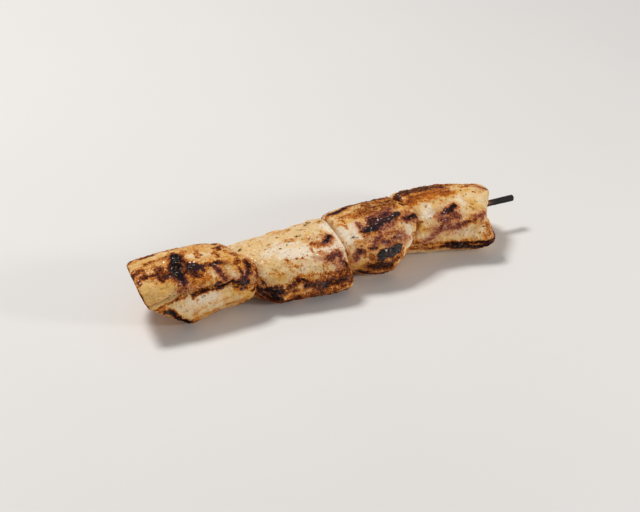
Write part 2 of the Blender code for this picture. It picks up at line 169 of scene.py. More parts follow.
SECOND_MARKS = (
    # the charred lower left corner
    Mark("roast", 0.97, 2.4, ((-36, -8), (-32.5, -8))),
    Mark("roast", 0.92, 2.0, ((-35, -18), (-32.5, -19))),
    Mark("roast", 0.84, 1.6, ((-42.5, -3), (-40, -8), (-37, -8))),
    Mark("roast", 0.80, 1.3, ((-28, -3), (-26, 1), (-24.5, 4))),
    Mark("roast", 0.62, 1.0, ((-30, -10), (-25, -9))),
    Mark("roast", 0.66, 0.7, ((-38.5, 8), (-38, 1))),
    # the dark line along the lower front, and the mahogany lobe that it runs into
    Mark("roast", 0.80, 0.9, ((-23, 5), (-21.5, 2), (-20, -3))),
    Mark("roast", 0.86, 1.1, ((-21.5, -4), (-18, -5))),
    Mark("roast", 0.66, 2.6, ((-17, -7), (-11, -6), (-6, -3), (-2, 1))),
    Mark("roast", 0.74, 1.9, ((-13, -9), (-8, -6), (-3, -4))),
    Mark("roast", 0.62, 2.6, ((-20, -16), (-14, -18), (-6, -16), (-1, -12))),
    Mark("roast", 0.72, 3.0, ((-20, -28), (-12, -30), (-3, -30))),
    Mark("roast", 0.50, 1.6, ((-14, 3), (-9, 4), (-4, 8))),
    Mark("roast", 0.78, 2.2, ((-42, -14), (-37, -24), (-30, -27), (-24, -24))),
    Mark("gold", 0.8, 2.0, ((-29, -14), (-24, -12))),
    Mark("roast", 0.36, 2.0, ((-28, -17), (-24, -15))),
    Mark("roast", 0.62, 3.2, ((-42, -34), (-34, -40), (-26, -42))),
    Mark("roast", 0.40, 1.2, ((-23, -10), (-18, -11))),
    Mark("roast", 0.90, 0.7, ((-2.8, 15), (-2.4, 10))),
    # the orange spot with the black middle
    Mark("calm", 0.8, 2.6, ((-13, 54), (-8, 52))),
    Mark("roast", 0.44, 2.2, ((-13, 50), (-10, 47), (-7, 47))),
    Mark("roast", 0.26, 2.6, ((-14.5, 68), (-10, 67), (-6, 66))),
    Mark("roast", 0.60, 0.6, ((-13.6, 52), (-12.2, 50))),
    Mark("roast", 1.0, 2.1, ((-7.0, 53), (-6.0, 57))),
    Mark("plum", 0.80, 2.2, ((-7.4, 52), (-7.0, 54))),
    Mark("roast", 0.66, 0.7, ((-13.8, 52), (-13.2, 56))),
    # the small marks round about
    Mark("roast", 0.34, 1.4, ((-12, 34), (-10.5, 24), (-11.5, 14))),
    Mark("pink", 0.6, 1.2, ((-15, 25), (-12.5, 24))),
    Mark("plum", 0.72, 1.7, ((-9.5, 24), (-7, 25), (-4.8, 25))),
    Mark("plum", 0.58, 1.3, ((-5.5, 21), (-4.5, 15))),
    Mark("pink", 0.8, 0.7, ((-8.5, 16), (-6.5, 13), (-7.5, 8))),
    Mark("roast", 0.34, 1.2, ((-6, 8), (-3.5, 8))),
    Mark("roast", 0.50, 0.5, ((-15, 41), (-14.5, 35))),
    Mark("gold", 0.7, 1.8, ((-34, 12), (-30, 10))),
    Mark("roast", 0.30, 0.9, ((-35, 18), (-32, 16), (-30, 15))),
    Mark("roast", 0.34, 0.4, ((-27, 22), (-24.5, 21), (-22, 20))),
    Mark("roast", 0.52, 0.5, ((-22, 20),)),
    Mark("roast", 0.34, 0.8, ((-35, 41),)),
    Mark("roast", 0.30, 1.0, ((-23, 8), (-17, 6), (-13, 6))),
    # herbs and pepper that have baked into the skin
    Mark("olive", 0.95, 0.8, ((-42.5, 106),)),
    Mark("olive", 1.0, 0.8, ((-21.5, 76),)),
    Mark("olive", 0.95, 0.6, ((-13.5, 67),)),
    Mark("olive", 0.85, 0.6, ((-30.5, 88),)),
    Mark("roast", 0.84, 0.4, ((-26.8, 30),)),
    Mark("roast", 0.80, 0.4, ((-22.4, 31),)),
    Mark("roast", 0.84, 0.4, ((-20.1, 31),)),
    Mark("roast", 0.74, 0.4, ((-18.0, 33),)),
    Mark("olive", 0.85, 0.6, ((-25, 110),)),
    Mark("olive", 0.85, 0.7, ((-17, 96), (-16, 90))),
    Mark("olive", 0.80, 0.6, ((-33, 106),)),
    Mark("olive", 0.80, 0.5, ((-11, 122), (-8, 126))),
    Mark("olive", 0.80, 0.5, ((-6, 118), (-3.5, 116))),
    Mark("olive", 0.75, 0.5, ((-14, 118), (-12, 112))),
    # pale and golden meat, and painted sheen in the white middle
    Mark("calm", 0.9, 4.6, ((-36, 60), (-26, 50), (-18, 42))),
    Mark("calm", 0.8, 3.6, ((-38, 100), (-26, 100), (-16, 100), (-8, 96))),
    # the pale marks in the middle are pale meat with painted sheen on it
    Mark("pale", 1.0, 3.4, ((-26, 46), (-17.5, 40))),
    Mark("pale", 0.7, 2.8, ((-35, 50), (-30, 66), (-27, 84))),
    Mark("pale", 0.7, 2.4, ((-27, 72), (-19, 66))),
    Mark("pale", 1.0, 2.1, ((-13, 40), (-6, 38))),
    Mark("pale", 1.0, 2.5, ((-3, 100), (-2.4, 80), (-1.8, 60), (-1.2, 40), (-1.5, 26))),
    Mark("gold", 0.5, 2.4, ((-42, 60), (-36, 45))),
    Mark("gold", 0.5, 1.9, ((-16, 72), (-12, 90))),
    Mark("gold", 0.4, 2.0, ((-37, 90), (-30, 92))),
)

THIRD_MARKS = (
    # the upper blister: a black lower edge under a scab of mahogany
    Mark("blister", 0.98, 1.5, ((10.5, 50), (15, 52), (20, 57))),
    Mark("blister", 0.98, 1.2, ((20, 57), (24, 62), (27.6, 68))),
    Mark("roast", 0.90, 1.2, ((8.5, 49), (12, 51))),
    Mark("scab", 0.76, 2.2, ((14.5, 64), (19, 69), (24, 73))),
    Mark("plum", 0.78, 1.7, ((15, 64), (19, 69), (24, 72))),
    Mark("scab", 0.80, 1.4, ((13, 58), (17, 60))),
    Mark("plum", 0.60, 1.2, ((14, 74), (19, 79), (26, 81))),
    Mark("plum", 0.54, 1.5, ((17, 46), (23, 50))),
    Mark("plum", 0.72, 1.3, ((8.4, 65), (9.2, 56))),
    # the lower blister, blue-black and wet, and the streaks that come down to it
    Mark("blister", 1.0, 2.4, ((14.9, 7.5), (18.5, 9.5), (22.2, 12.5))),
    Mark("plum", 0.66, 1.2, ((15.5, 38), (13.5, 31), (11.5, 25))),
    Mark("roast", 0.86, 0.6, ((10, 22), (13, 21))),
    Mark("plum", 0.62, 1.2, ((15, 33), (16.5, 27), (18.5, 25))),
    Mark("roast", 0.58, 1.0, ((20, 28), (22.5, 29), (24.5, 27))),
    Mark("roast", 0.40, 1.8, ((14, 43), (18, 38), (22, 38))),
    # the reddened ring round it and the pale fold beyond
    Mark("plum", 0.44, 1.1, ((24, 36), (27, 33), (28.5, 22))),
    Mark("pink", 0.9, 1.8, ((24, 31), (26.4, 27), (27, 17))),
    Mark("roast", 0.36, 1.7, ((20, 37), (24, 34), (27, 24))),
    Mark("pale", 0.75, 1.6, ((30, 36), (31, 15), (30, 2), (26, -9))),
    Mark("gold", 0.60, 1.2, ((28, 8), (25, -4))),
    # the left side
    Mark("plum", 0.74, 1.3, ((5.2, 20), (3.8, 15), (3.6, 6))),
    Mark("plum", 0.60, 0.9, ((5.4, 21), (6.4, 18))),
    Mark("roast", 0.50, 0.6, ((7.0, 22), (7.6, 10))),
    Mark("roast", 0.54, 0.6, ((6.3, 28),)),
    Mark("gold", 0.8, 2.4, ((6, 0), (5, -12), (8, -16))),
    Mark("calm", 1.0, 2.6, ((0, 84), (0.5, 60), (2, 40))),
    Mark("calm", 0.9, 2.4, ((5.5, 64), (6, 46))),
    Mark("gold", 0.8, 2.2, ((1, 76), (6, 76))),
    # these pale marks are partly painted light: they lighten the left side's colour against the shade that falls
    # there
    Mark("pale", 1.0, 2.6, ((7, 60), (5.5, 44))),
    Mark("pale", 0.9, 2.4, ((1, 66), (1.6, 50), (3, 34))),
    Mark("gold", 0.5, 1.6, ((3.5, 28), (6, 29))),
    Mark("pink", 0.5, 1.6, ((10, 40), (10, 32))),
    # the top: orange-brown at the left, and a darker brown to the right of it
    Mark("roast", 0.42, 3.0, ((4.5, 99), (9, 93))),
    Mark("roast", 0.52, 0.6, ((2, 88), (4, 74))),
    Mark("roast", 0.50, 0.5, ((5, 98), (8, 90), (9, 84))),
    Mark("roast", 0.36, 0.5, ((1, 78), (3.5, 64))),
    Mark("roast", 0.60, 0.5, ((4, 67),)),
    Mark("roast", 0.44, 3.2, ((13, 100), (19, 98), (27, 97))),
    Mark("roast", 0.46, 2.6, ((12, 86), (17, 86), (28, 88))),
    Mark("olive", 0.28, 3.4, ((14, 104), (20, 100), (28, 100))),
    Mark("olive", 0.22, 2.4, ((14, 88), (20, 90))),
    Mark("roast", 0.58, 0.8, ((12, 94), (16, 92))),
    Mark("roast", 0.60, 0.8, ((19, 101), (25, 100))),
    Mark("crust", 0.88, 1.7, ((1.5, 128), (5, 124), (9, 122))),
    Mark("roast", 0.62, 2.4, ((8, 128), (16, 126), (20, 124))),
    Mark("crust", 0.82, 2.0, ((19.5, 125), (23, 124), (28, 121))),
    Mark("roast", 0.56, 2.0, ((17, 112), (24, 110), (29, 108))),
    # a painted glint: a small pale spot on the top
    Mark("pale", 0.9, 0.7, ((11.5, 83),)),
    # the bottom
    Mark("roast", 0.84, 2.5, ((9.5, -7), (13, -10), (17, -12), (19, -13))),
    Mark("olive", 0.45, 2.4, ((10, -6), (14, -8), (19, -11))),
    Mark("roast", 0.50, 1.8, ((9, -18), (15, -19), (21, -20))),
    Mark("roast", 0.88, 2.2, ((7, -32), (14, -34), (20, -34))),
    # the right end
    Mark("roast", 0.98, 2.0, ((30.8, 57), (34.4, 58))),
    Mark("plum", 0.80, 2.3, ((30.4, 56), (32.6, 57))),
    Mark("roast", 0.42, 2.2, ((31.5, 68), (33, 48))),
    Mark("pale", 0.9, 1.6, ((29.5, 48), (30.5, 42))),
    Mark("gold", 0.8, 1.8, ((29, 86), (33, 76))),
    Mark("roast", 0.76, 1.0, ((31.5, 90), (32.8, 87))),
    Mark("roast", 0.58, 2.0, ((30.5, 116), (32, 102))),
    Mark("olive", 0.75, 0.8, ((30, 100),)),
    Mark("olive", 0.60, 0.5, ((26, 112), (29, 110))),
)

FOURTH_MARKS = (
    # the scorched ridge along the top and the orange-brown band below it
    Mark("crust", 0.72, 3.2, ((33, 120), (39, 120), (44, 119), (49, 118), (55, 118))),
    # the olive tint greys the ridge as painted sheen, where light grazes it
    Mark("olive", 0.45, 2.4, ((33, 122), (44, 121), (54, 119))),
    Mark("roast", 0.92, 0.8, ((37, 128), (46, 130), (53, 128))),
    Mark("roast", 0.50, 1.4, ((56, 126), (64, 128), (72, 126))),
    Mark("calm", 0.9, 4.2, ((35, 96), (43, 96), (50, 94), (57, 94))),
    Mark("roast", 0.42, 3.9, ((35, 96), (43, 94), (50, 93), (56, 94))),
    Mark("roast", 0.50, 2.6, ((37, 103), (43, 104), (50, 103), (56, 104))),
    Mark("roast", 0.58, 0.8, ((40, 96), (42, 92))),
    Mark("roast", 0.60, 1.4, ((32.5, 120), (33.5, 108))),
    Mark("roast", 0.56, 0.9, ((48, 100), (52, 98), (57, 97))),
    # the blue-black spot and the mottled meat below it
    Mark("roast", 1.0, 1.7, ((51.4, 55), (54.4, 58))),
    Mark("plum", 0.80, 1.7, ((50, 52), (52.6, 55))),
    Mark("plum", 0.72, 1.5, ((50, 53), (47, 49))),
    Mark("plum", 0.58, 2.6, ((47, 46), (49, 36))),
    Mark("plum", 0.56, 2.4, ((52, 48), (53.5, 38))),
    Mark("roast", 0.66, 0.6, ((46.5, 38), (49, 40))),
    Mark("roast", 0.64, 0.6, ((47.5, 32), (49.5, 33))),
    # the long fold, from the dark spots at the lower left up to the reddish patches at the right
    Mark("plum", 0.76, 1.4, ((39.8, -3), (42, 1))),
    Mark("plum", 0.54, 2.0, ((41, 4), (43.5, 13), (46, 24))),
    Mark("plum", 0.50, 2.6, ((44, 20), (49, 22), (53, 22))),
    Mark("roast", 0.60, 1.7, ((51, 18), (55, 21), (58, 24), (61, 25))),
    Mark("roast", 0.78, 0.7, ((56, 23), (59, 24))),
    Mark("roast", 0.56, 2.0, ((62, 31), (65.5, 31))),
    Mark("plum", 0.56, 1.5, ((62.5, 31), (65.5, 31))),
    Mark("roast", 0.80, 0.5, ((64, 22), (65, 25))),
    Mark("plum", 0.56, 1.2, ((68.5, 31), (70.5, 31))),
    # the lower left
    Mark("roast", 0.52, 1.4, ((34.5, -8), (36.5, -6))),
    Mark("roast", 0.66, 1.1, ((35, -24), (37.5, -21), (40, -18))),
    Mark("roast", 0.40, 2.4, ((35, -2), (40, -12), (46, -16))),
    Mark("pink", 0.6, 1.6, ((38, -9), (43, -5), (45, 6))),
    Mark("gold", 0.9, 1.2, ((36, -16), (42, -20), (48, -24))),
    Mark("roast", 0.44, 1.3, ((41, -14), (45, -15), (48, -17))),
    # the charred bottom edge and the browned right lobe
    Mark("roast", 1.0, 2.3, ((49.5, -18), (53, -20), (57, -19))),
    Mark("roast", 0.92, 2.2, ((48, -30), (56, -30), (64, -27), (69, -22))),
    Mark("roast", 0.54, 3.0, ((34, -34), (40, -34), (47, -32))),
    Mark("roast", 0.88, 1.3, ((57, -17), (62, -16), (67, -15), (70, -12))),
    Mark("roast", 0.74, 1.2, ((70.5, -8), (70, 4))),
    Mark("roast", 0.42, 2.6, ((66.5, -2), (68, 12))),
    # pale and golden meat; the pale marks are partly painted sheen
    Mark("pale", 1.0, 2.6, ((42.5, 72), (42, 56))),
    Mark("pale", 0.5, 2.4, ((38, 56), (36, 42))),
    Mark("pale", 0.5, 2.4, ((57, 6), (61, 5))),
    Mark("pale", 0.6, 1.6, ((58.5, 84), (59, 66), (60, 50))),
    Mark("pale", 0.35, 2.4, ((67, 84), (69.5, 50))),
    Mark("pale", 0.6, 1.8, ((58, 72), (58, 48))),
    Mark("gold", 1.0, 1.5, ((38, 26), (41, 25))),
    Mark("roast", 0.26, 1.3, ((38, 26), (41, 25))),
    Mark("calm", 0.9, 4.4, ((64, 100), (66, 80), (66, 58))),
    Mark("calm", 0.7, 3.0, ((40, 74), (38, 50), (39, 38))),
    Mark("calm", 0.6, 2.6, ((52, 8), (62, 8))),
    Mark("gold", 0.6, 2.2, ((45, 62), (46, 74))),
    Mark("gold", 1.0, 1.8, ((35.5, 66), (35, 54), (36.5, 34))),
    Mark("roast", 0.24, 1.6, ((35.6, 64), (35.4, 52))),
    Mark("gold", 0.7, 2.4, ((58, 92), (66, 100))),
    Mark("gold", 0.6, 1.6, ((59, 52), (63, 46))),
    Mark("pink", 0.4, 1.6, ((49, 8), (52, 9))),
    # streaks and specks
    Mark("olive", 0.5, 0.5, ((61.5, 52), (62, 45))),
    Mark("olive", 0.7, 0.5, ((42, 74),)),
    Mark("olive", 0.6, 0.4, ((46, 79),)),
    Mark("roast", 0.62, 0.8, ((38, 45),)),
    Mark("olive", 0.6, 0.4, ((61, 12),)),
    Mark("olive", 0.55, 0.5, ((62.5, 4),)),
    Mark("olive", 0.6, 0.4, ((66.5, 17),)),
    Mark("roast", 0.55, 0.5, ((67.5, 90), (68.5, 88))),
    Mark("plum", 0.74, 1.5, ((72.5, 112), (74.5, 104))),
    Mark("roast", 0.40, 1.4, ((64, 114), (70, 114))),
    Mark("roast", 0.60, 0.7, ((76, 58), (76, 40))),
)

FINISHES = (
    Finish("chicken_chunk_1", 0.48, 0.50, 0.08, 14, 11, FIRST_MARKS),
    Finish("chicken_chunk_2", 0.18, 0.28, 0.30, -48, 23, SECOND_MARKS),
    Finish("chicken_chunk_3", 0.37, 0.36, 0.08, -40, 37, THIRD_MARKS),
    Finish("chicken_chunk_4", 0.16, 0.44, 0.22, -62, 53, FOURTH_MARKS),
)

SPRIGS = (
    Sprig("chicken_chunk_1", -65.5, 11, 5, 2.0, 0.8),
    Sprig("chicken_chunk_1", -55.5, 132, 10, 2.2, 0.8),
    Sprig("chicken_chunk_1", -49, 118, -25, 2.0, 0.7),
    Sprig("chicken_chunk_1", -47, 104, -35, 1.8, 0.7),
    Sprig("chicken_chunk_1", -68, 128, 20, 1.5, 0.7),
    Sprig("chicken_chunk_2", -17, 90, -58, 2.2, 0.7),
    Sprig("chicken_chunk_2", -9, 128, 15, 1.9, 0.8),
    Sprig("chicken_chunk_2", -42.5, 106, 10, 1.3, 0.9),
    Sprig("chicken_chunk_2", -21.5, 76, 25, 1.3, 0.8),
    Sprig("chicken_chunk_3", 3.4, 44, 5, 3.2, 0.7),
    Sprig("chicken_chunk_3", 28, 110, -12, 1.8, 0.8),
    Sprig("chicken_chunk_4", 63.3, 56, 4, 2.6, 0.7),
    Sprig("chicken_chunk_4", 65.6, 60, -35, 1.5, 0.6),
    Sprig("chicken_chunk_4", 62.8, 83, 30, 1.4, 0.7),
    Sprig("chicken_chunk_4", 48.5, 122, 5, 1.8, 0.9),
)

# A plane that a chunk's end was cut along: the way that it looks, and how far it is from the frame's middle
Cut = namedtuple("Cut", "side reach")
CUTS = {"chicken_chunk_1": Cut((-0.901, 0.075, -0.427), 71.7)}
CUT_UNEVENNESS = 0.35
CUT_RIM = 0.5  # of the browned line along the edge of a cut

HALO_SHARE = 0.46  # of a mark's strength, in the browned ring round it
HALO_REACH = 1.7
BACK_SEARS = 16  # of marks strewn by chance over the sides that the lists above leave alone
BACK_SEARS_START = 128  # degrees round from the front, to where they meet the listed ones again below
BACK_SEARS_END = 322


# Unevenness


def hashed(cells, seed):
    """A random value from 0 to 1 for each whole-numbered place."""
    number = cells[:, 0] * 374761393 + cells[:, 1] * 668265263 + cells[:, 2] * 1440670441 + seed * 362437
    number = number & 0xFFFFFFFF
    number = ((number ^ (number >> 13)) * 1274126177) & 0xFFFFFFFF
    return ((number ^ (number >> 16)) & 0xFFFFFF) / 0xFFFFFF


def noise_at(points, cell, seed):
    """Smooth noise from -1 to 1, whose bumps are as wide as the cell, or as its three sizes."""
    spot = points / cell
    corner = np.floor(spot)
    share = spot - corner
    share = share**3 * (share * (share * 6 - 15) + 10)
    corner = corner.astype(np.int64)
    total = np.zeros(len(points))
    for step in itertools.product((0, 1), repeat=3):
        weight = np.prod(np.where(np.array(step) == 1, share, 1 - share), axis=1)
        total += weight * hashed(corner + np.array(step), seed)
    return total * 2 - 1


def layered_noise(points, cell, seed, layers=3):
    """Noise from -1 to 1 with finer layers on top of the coarse one, each half as wide and half as strong."""
    total = np.zeros(len(points))
    strength = 1.0
    cell = np.asarray(cell, dtype=float)
    for layer in range(layers):
        total += strength * noise_at(points + 17.3 * layer, cell, seed + 7 * layer)
        strength *= 0.5
        cell = cell * 0.5
    return total / (2 - 2 * strength)


def wandered(points, cell, reach, seed):
    """The places, each moved a little, so that an edge drawn by them comes out ragged."""
    moves = [layered_noise(points, cell, seed + 101 * axis, 2) for axis in range(3)]
    return points + reach * np.stack(moves, axis=1)


def eased(low, high, values):
    """0 at low, 1 at high, and a smooth climb in between. High may be the smaller one."""
    share = np.clip((values - low) / (high - low), 0, 1)
    return share * share * (3 - 2 * share)


# The browning


def unrolled(points):
    """Places on a chunk as x and the length of surface from its front line."""
    angle = np.degrees(np.arctan2(points[:, 2] - MIDDLE_Z, MIDDLE_Y - points[:, 1]))
    return np.stack([points[:, 0] - LISTS_START, angle * ARC], axis=1)


def distance_to_path(flat, path):
    """How far each unrolled place is from a path of places."""
    corners = [np.array((x, angle * ARC)) for x, angle in path]
    best = np.full(len(flat), np.inf)
    for start, end in zip(corners, corners[1:] or corners):
        along = end - start
        share = np.clip((flat - start) @ along / max(along @ along, 1e-9), 0, 1)
        gap = flat - start - share[:, None] * along
        best = np.minimum(best, np.hypot(gap[:, 0], gap[:, 1]))
    return best


def grain_of(points, turn, seed):
    """The ridges of the meat's fibres, from -1 to 1, drawn out along the skewer and turned a little."""
    slope = math.radians(turn)
    along = points[:, 0] * math.cos(slope) + points[:, 2] * math.sin(slope)
    up = points[:, 2] * math.cos(slope) - points[:, 0] * math.sin(slope)
    turned = np.stack([along, points[:, 1], up], axis=1)
    turned = wandered(turned, 6.0, 1.2, seed)
    fine = 1 - 2 * np.abs(layered_noise(turned, (9.0, 1.1, 1.1), seed + 1, 3))
    return fine - 0.5


def chance_sears(points, seed):
    """How scorched the back and the underside are, by patches and streaks strewn by chance."""
    chance = random.Random(seed)
    burnt = np.zeros(len(points))
    span = np.ptp(points[:, 0])
    start = points[:, 0].min()
    for _ in range(BACK_SEARS):
        x = start + span * chance.uniform(0.06, 0.94)
        angle = math.radians(chance.uniform(BACK_SEARS_START, BACK_SEARS_END))
        near = np.abs(points[:, 0] - x) < 1.5
        rim = np.hypot(points[near, 1] - MIDDLE_Y, points[near, 2] - MIDDLE_Z).max()
        centre = np.array((x, MIDDLE_Y - rim * math.cos(angle), MIDDLE_Z + rim * math.sin(angle)))
        long_way = chance.uniform(2.0, 7.0)
        short_way = chance.uniform(1.4, 3.2)
        heat = chance.uniform(0.42, 0.98)
        gap = np.linalg.norm((points - centre) / (long_way, short_way * 1.6, short_way * 1.6), axis=1)
        burnt = np.maximum(burnt, heat * eased(1.25, 0.55, gap))
    return burnt


def browned(points, finish):
    """What each point of a chunk's skin took from the grill, as channels from 0 to 1."""
    seed = finish.seed
    loose = wandered(points, 2.6, 0.7, seed + 1)
    loose = wandered(loose, 0.9, 0.42, seed + 2)
    flat = unrolled(loose)
    ragged = layered_noise(points, 1.3, seed + 3, 3)
    broken = np.minimum(0.96 + 0.36 * layered_noise(loose, 2.4, seed + 10, 2), 1.05)
    clouds = layered_noise(points, 7.0, seed + 4, 3)
    patches = eased(-0.05, 0.45, layered_noise(loose, 3.6, seed + 9, 3))
    skin = {
        "roast": np.clip(finish.roast * (0.45 + patches) + 0.10 * clouds, 0.0, 1),
        "gold": np.clip(finish.gold + 0.6 * layered_noise(points, 4.5, seed + 5, 3), 0, 1),
        "pale": np.clip(finish.pale + 0.5 * layered_noise(points, 5.0, seed + 6, 3), 0, 1),
        "plum": np.zeros(len(points)),
        "olive": np.zeros(len(points)),
        "crust": np.zeros(len(points)),
        "blister": np.zeros(len(points)),
        "grain": grain_of(points, finish.grain_turn, seed + 63),
    }
    covers = []
    for mark in finish.marks:
        gap = distance_to_path(flat, mark.path) / mark.reach
        covers.append((mark, gap, np.exp(-(np.clip(gap + 0.42 * ragged, 0, 9) / 1.12) ** 2.1)))
    clean = np.zeros(len(points))
    for mark, gap, cover in covers:
        if mark.kind == "calm":
            clean = np.maximum(clean, mark.strength * eased(1.3, 0.6, gap))
        if mark.kind in ("gold", "pale"):
            soft = mark.strength * np.exp(-(gap**2) * 0.6)
            skin[mark.kind] = np.maximum(skin[mark.kind], soft)
            other = "pale" if mark.kind == "gold" else "gold"
            skin[other] *= 1 - 0.8 * soft
            clean = np.maximum(clean, soft if mark.kind == "pale" else 0.6 * soft)
    skin["roast"] *= 1 - 0.75 * np.maximum(skin["pale"], clean)
    skin["calm"] = clean
    for mark, gap, cover in covers:
        if mark.kind == "pink":
            skin["plum"] = np.maximum(skin["plum"], mark.strength * cover)
            skin["roast"] = np.maximum(skin["roast"], 0.16 * cover)
        if mark.kind == "olive":
            skin["olive"] = np.maximum(skin["olive"], mark.strength * cover)
            if mark.reach < 1:
                ring = np.exp(-((gap * mark.reach / 1.1) ** 2))
                skin["pale"] *= 1 - 0.6 * ring
                skin["roast"] = np.maximum(skin["roast"], 0.24 * ring)
        if mark.kind in ("roast", "plum", "crust", "blister", "scab"):
            halo = HALO_SHARE * mark.strength * np.exp(-((gap * mark.reach / (mark.reach + HALO_REACH)) ** 2))
            halo *= 1 - 0.75 * clean
            whole = eased(0.7, 1.0, np.full(len(points), mark.strength))
            heat = np.maximum(mark.strength * cover * (broken + (1 - broken) * whole), halo * broken)
            skin["roast"] = (skin["roast"] ** 6 + heat**6) ** (1 / 6)
            if mark.kind == "plum":
                skin["plum"] = np.maximum(skin["plum"], 0.85 * np.exp(-((gap / 1.5) ** 2)))
            if mark.kind in ("crust", "scab"):
                skin["crust"] = np.maximum(skin["crust"], cover)
            if mark.kind == "blister":
                dome = np.sqrt(np.clip(1 - ((gap + 0.6 * ragged) / 1.2) ** 2, 0, 1))
                skin["blister"] = np.maximum(skin["blister"], dome)
    rim = np.exp(-(((beyond_cut(points, finish) + 0.2) / CUT_RIM) ** 2)) * np.clip(0.8 + 0.9 * ragged, 0, 1)
    skin["roast"] = np.maximum(skin["roast"], 0.72 * rim)
    angle = np.abs(unrolled(points)[:, 1] / ARC)
    unlisted = eased(112, 140, angle)
    below = np.degrees(np.arctan2(points[:, 2] - MIDDLE_Z, MIDDLE_Y - points[:, 1])) < 0
    unlisted = np.where(below, eased(28, 50, angle), unlisted)
    sears = chance_sears(loose, seed + 8) + 0.12 * ragged
    skin["roast"] = np.maximum(skin["roast"], unlisted * np.clip(sears, 0, 1))
    return skin


# The meat's shape


def object_of(name, mesh):
    obj = bpy.data.objects.new(name, mesh)
    bpy.context.scene.collection.objects.link(obj)
    return obj


def bake_shape(obj):
    """Makes what the modifiers show into the object's own plain mesh."""
    graph = bpy.context.evaluated_depsgraph_get()
    mesh = bpy.data.meshes.new_from_object(obj.evaluated_get(graph), depsgraph=graph)
    obj.modifiers.clear()
    obj.data = mesh
    obj.data.name = obj.name


def solid_of(node):
    """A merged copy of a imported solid's mesh."""
    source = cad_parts[node]
    mesh = source.data.copy()
    mesh.transform(source.matrix_world)
    shell = bmesh.new()
    shell.from_mesh(mesh)
    bmesh.ops.remove_doubles(shell, verts=shell.verts, dist=1e-6)
    shell.to_mesh(mesh)
    shell.free()
    return mesh


def fine_skin(node, name):
    """A chunk's solid as one even, fine and softened skin."""
    skin = object_of(name, solid_of(node))
    even = skin.modifiers.new("even cells", "REMESH")
    even.mode = "VOXEL"
    even.voxel_size = SKIN_CELL * MM
    soften = skin.modifiers.new("soften", "SMOOTH")
    soften.factor = 0.5
    soften.iterations = SOFTENING_ROUNDS
    bake_shape(skin)
    return skin


def places_of(mesh):
    """A mesh's points in millimetres, and its outward directions."""
    points = np.empty(len(mesh.vertices) * 3)
    mesh.vertices.foreach_get("co", points)
    normals = np.empty(len(mesh.vertices) * 3)
    mesh.vertex_normals.foreach_get("vector", normals)
    return points.reshape(-1, 3) / MM, normals.reshape(-1, 3)


def room_beside(points, node):
    """How far each point is from the chunks next to its own, in millimetres and no more than a few."""
    number = int(node[-1])
    room = np.full(len(points), 4.0)
    for neighbour in (number - 1, number + 1):
        name = f"chicken_chunk_{neighbour}"
        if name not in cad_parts:
            continue
        mesh = solid_of(name)
        tree = BVHTree.FromPolygons([v.co for v in mesh.vertices], [p.vertices for p in mesh.polygons])
        low, high = (corner.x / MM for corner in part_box(name))
        for index in np.flatnonzero((points[:, 0] > low - 4) & (points[:, 0] < high + 4)):
            gap = tree.find_nearest(Vector(points[index] * MM), 4.0 * MM)[3]
            if gap is not None:
                room[index] = min(room[index], gap / MM)
        bpy.data.meshes.remove(mesh)
    return room


def eased_inside(points):
    """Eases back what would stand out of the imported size, and keeps the bottom on the surface below."""
    low = np.array(cad_low) / MM + 0.05
    high = np.array(cad_high) / MM - 0.05
    inside = points.copy()
    for axis in range(3):
        over = high[axis] - points[:, axis]
        inside[:, axis] = np.where(over < 1, high[axis] - np.exp(over - 1), inside[:, axis])
        if axis < 2:
            under = points[:, axis] - low[axis]
            inside[:, axis] = np.where(under < 1, low[axis] + np.exp(under - 1), inside[:, axis])
    inside[:, 2] = np.maximum(inside[:, 2], 0.02)
    return inside


def beyond_cut(points, finish):
    """How far each point is beyond the plane of the chunk's cut end."""
    cut = CUTS.get(finish.node)
    if cut is None:
        return np.full(len(points), -99.0)
    return points @ np.array(cut.side) - cut.reach + CUT_UNEVENNESS * layered_noise(points, 2.4, finish.seed + 71, 3)


def cut_off(points, finish):
    """The points with the ones beyond the cut laid onto its plane."""
    beyond = np.maximum(beyond_cut(points, finish), 0)
    if not beyond.any():
        return points
    return points - beyond[:, None] * np.array(CUTS[finish.node].side)


def risen(points, finish, skin):
    """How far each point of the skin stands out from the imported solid."""
    seed = finish.seed + 60
    rise = 0.5 * layered_noise(points, 8.0, seed, 3)
    rough = 0.55 * layered_noise(points, 3.2, seed + 1, 3)
    rough += 0.20 * layered_noise(points, 1.3, seed + 2, 2)
    rough += 0.15 * skin["grain"]
    rough += skin["crust"] * (0.25 + 0.42 * layered_noise(points, 1.3, seed + 5, 2))
    scorched = eased(0.45, 0.85, skin["roast"])
    rough += scorched * (0.26 * layered_noise(points, 1.1, seed + 6, 2) - 0.14)
    bubbles = np.minimum(2.2 * np.abs(noise_at(points, (2.9, 2.3, 2.3), seed + 4)), 1)
    smooth = 0.25 + 0.65 * bubbles + 0.35 * noise_at(points, 4.0, seed + 7)
    return rise + rough + (smooth - rough) * skin["blister"]


def paint(mesh, skin):
    """Keeps the channels of the browning on the mesh, for its material."""
    for name, values in skin.items():
        mesh.attributes.new(name, "FLOAT", "POINT").data.foreach_set("value", values.astype(np.float32))


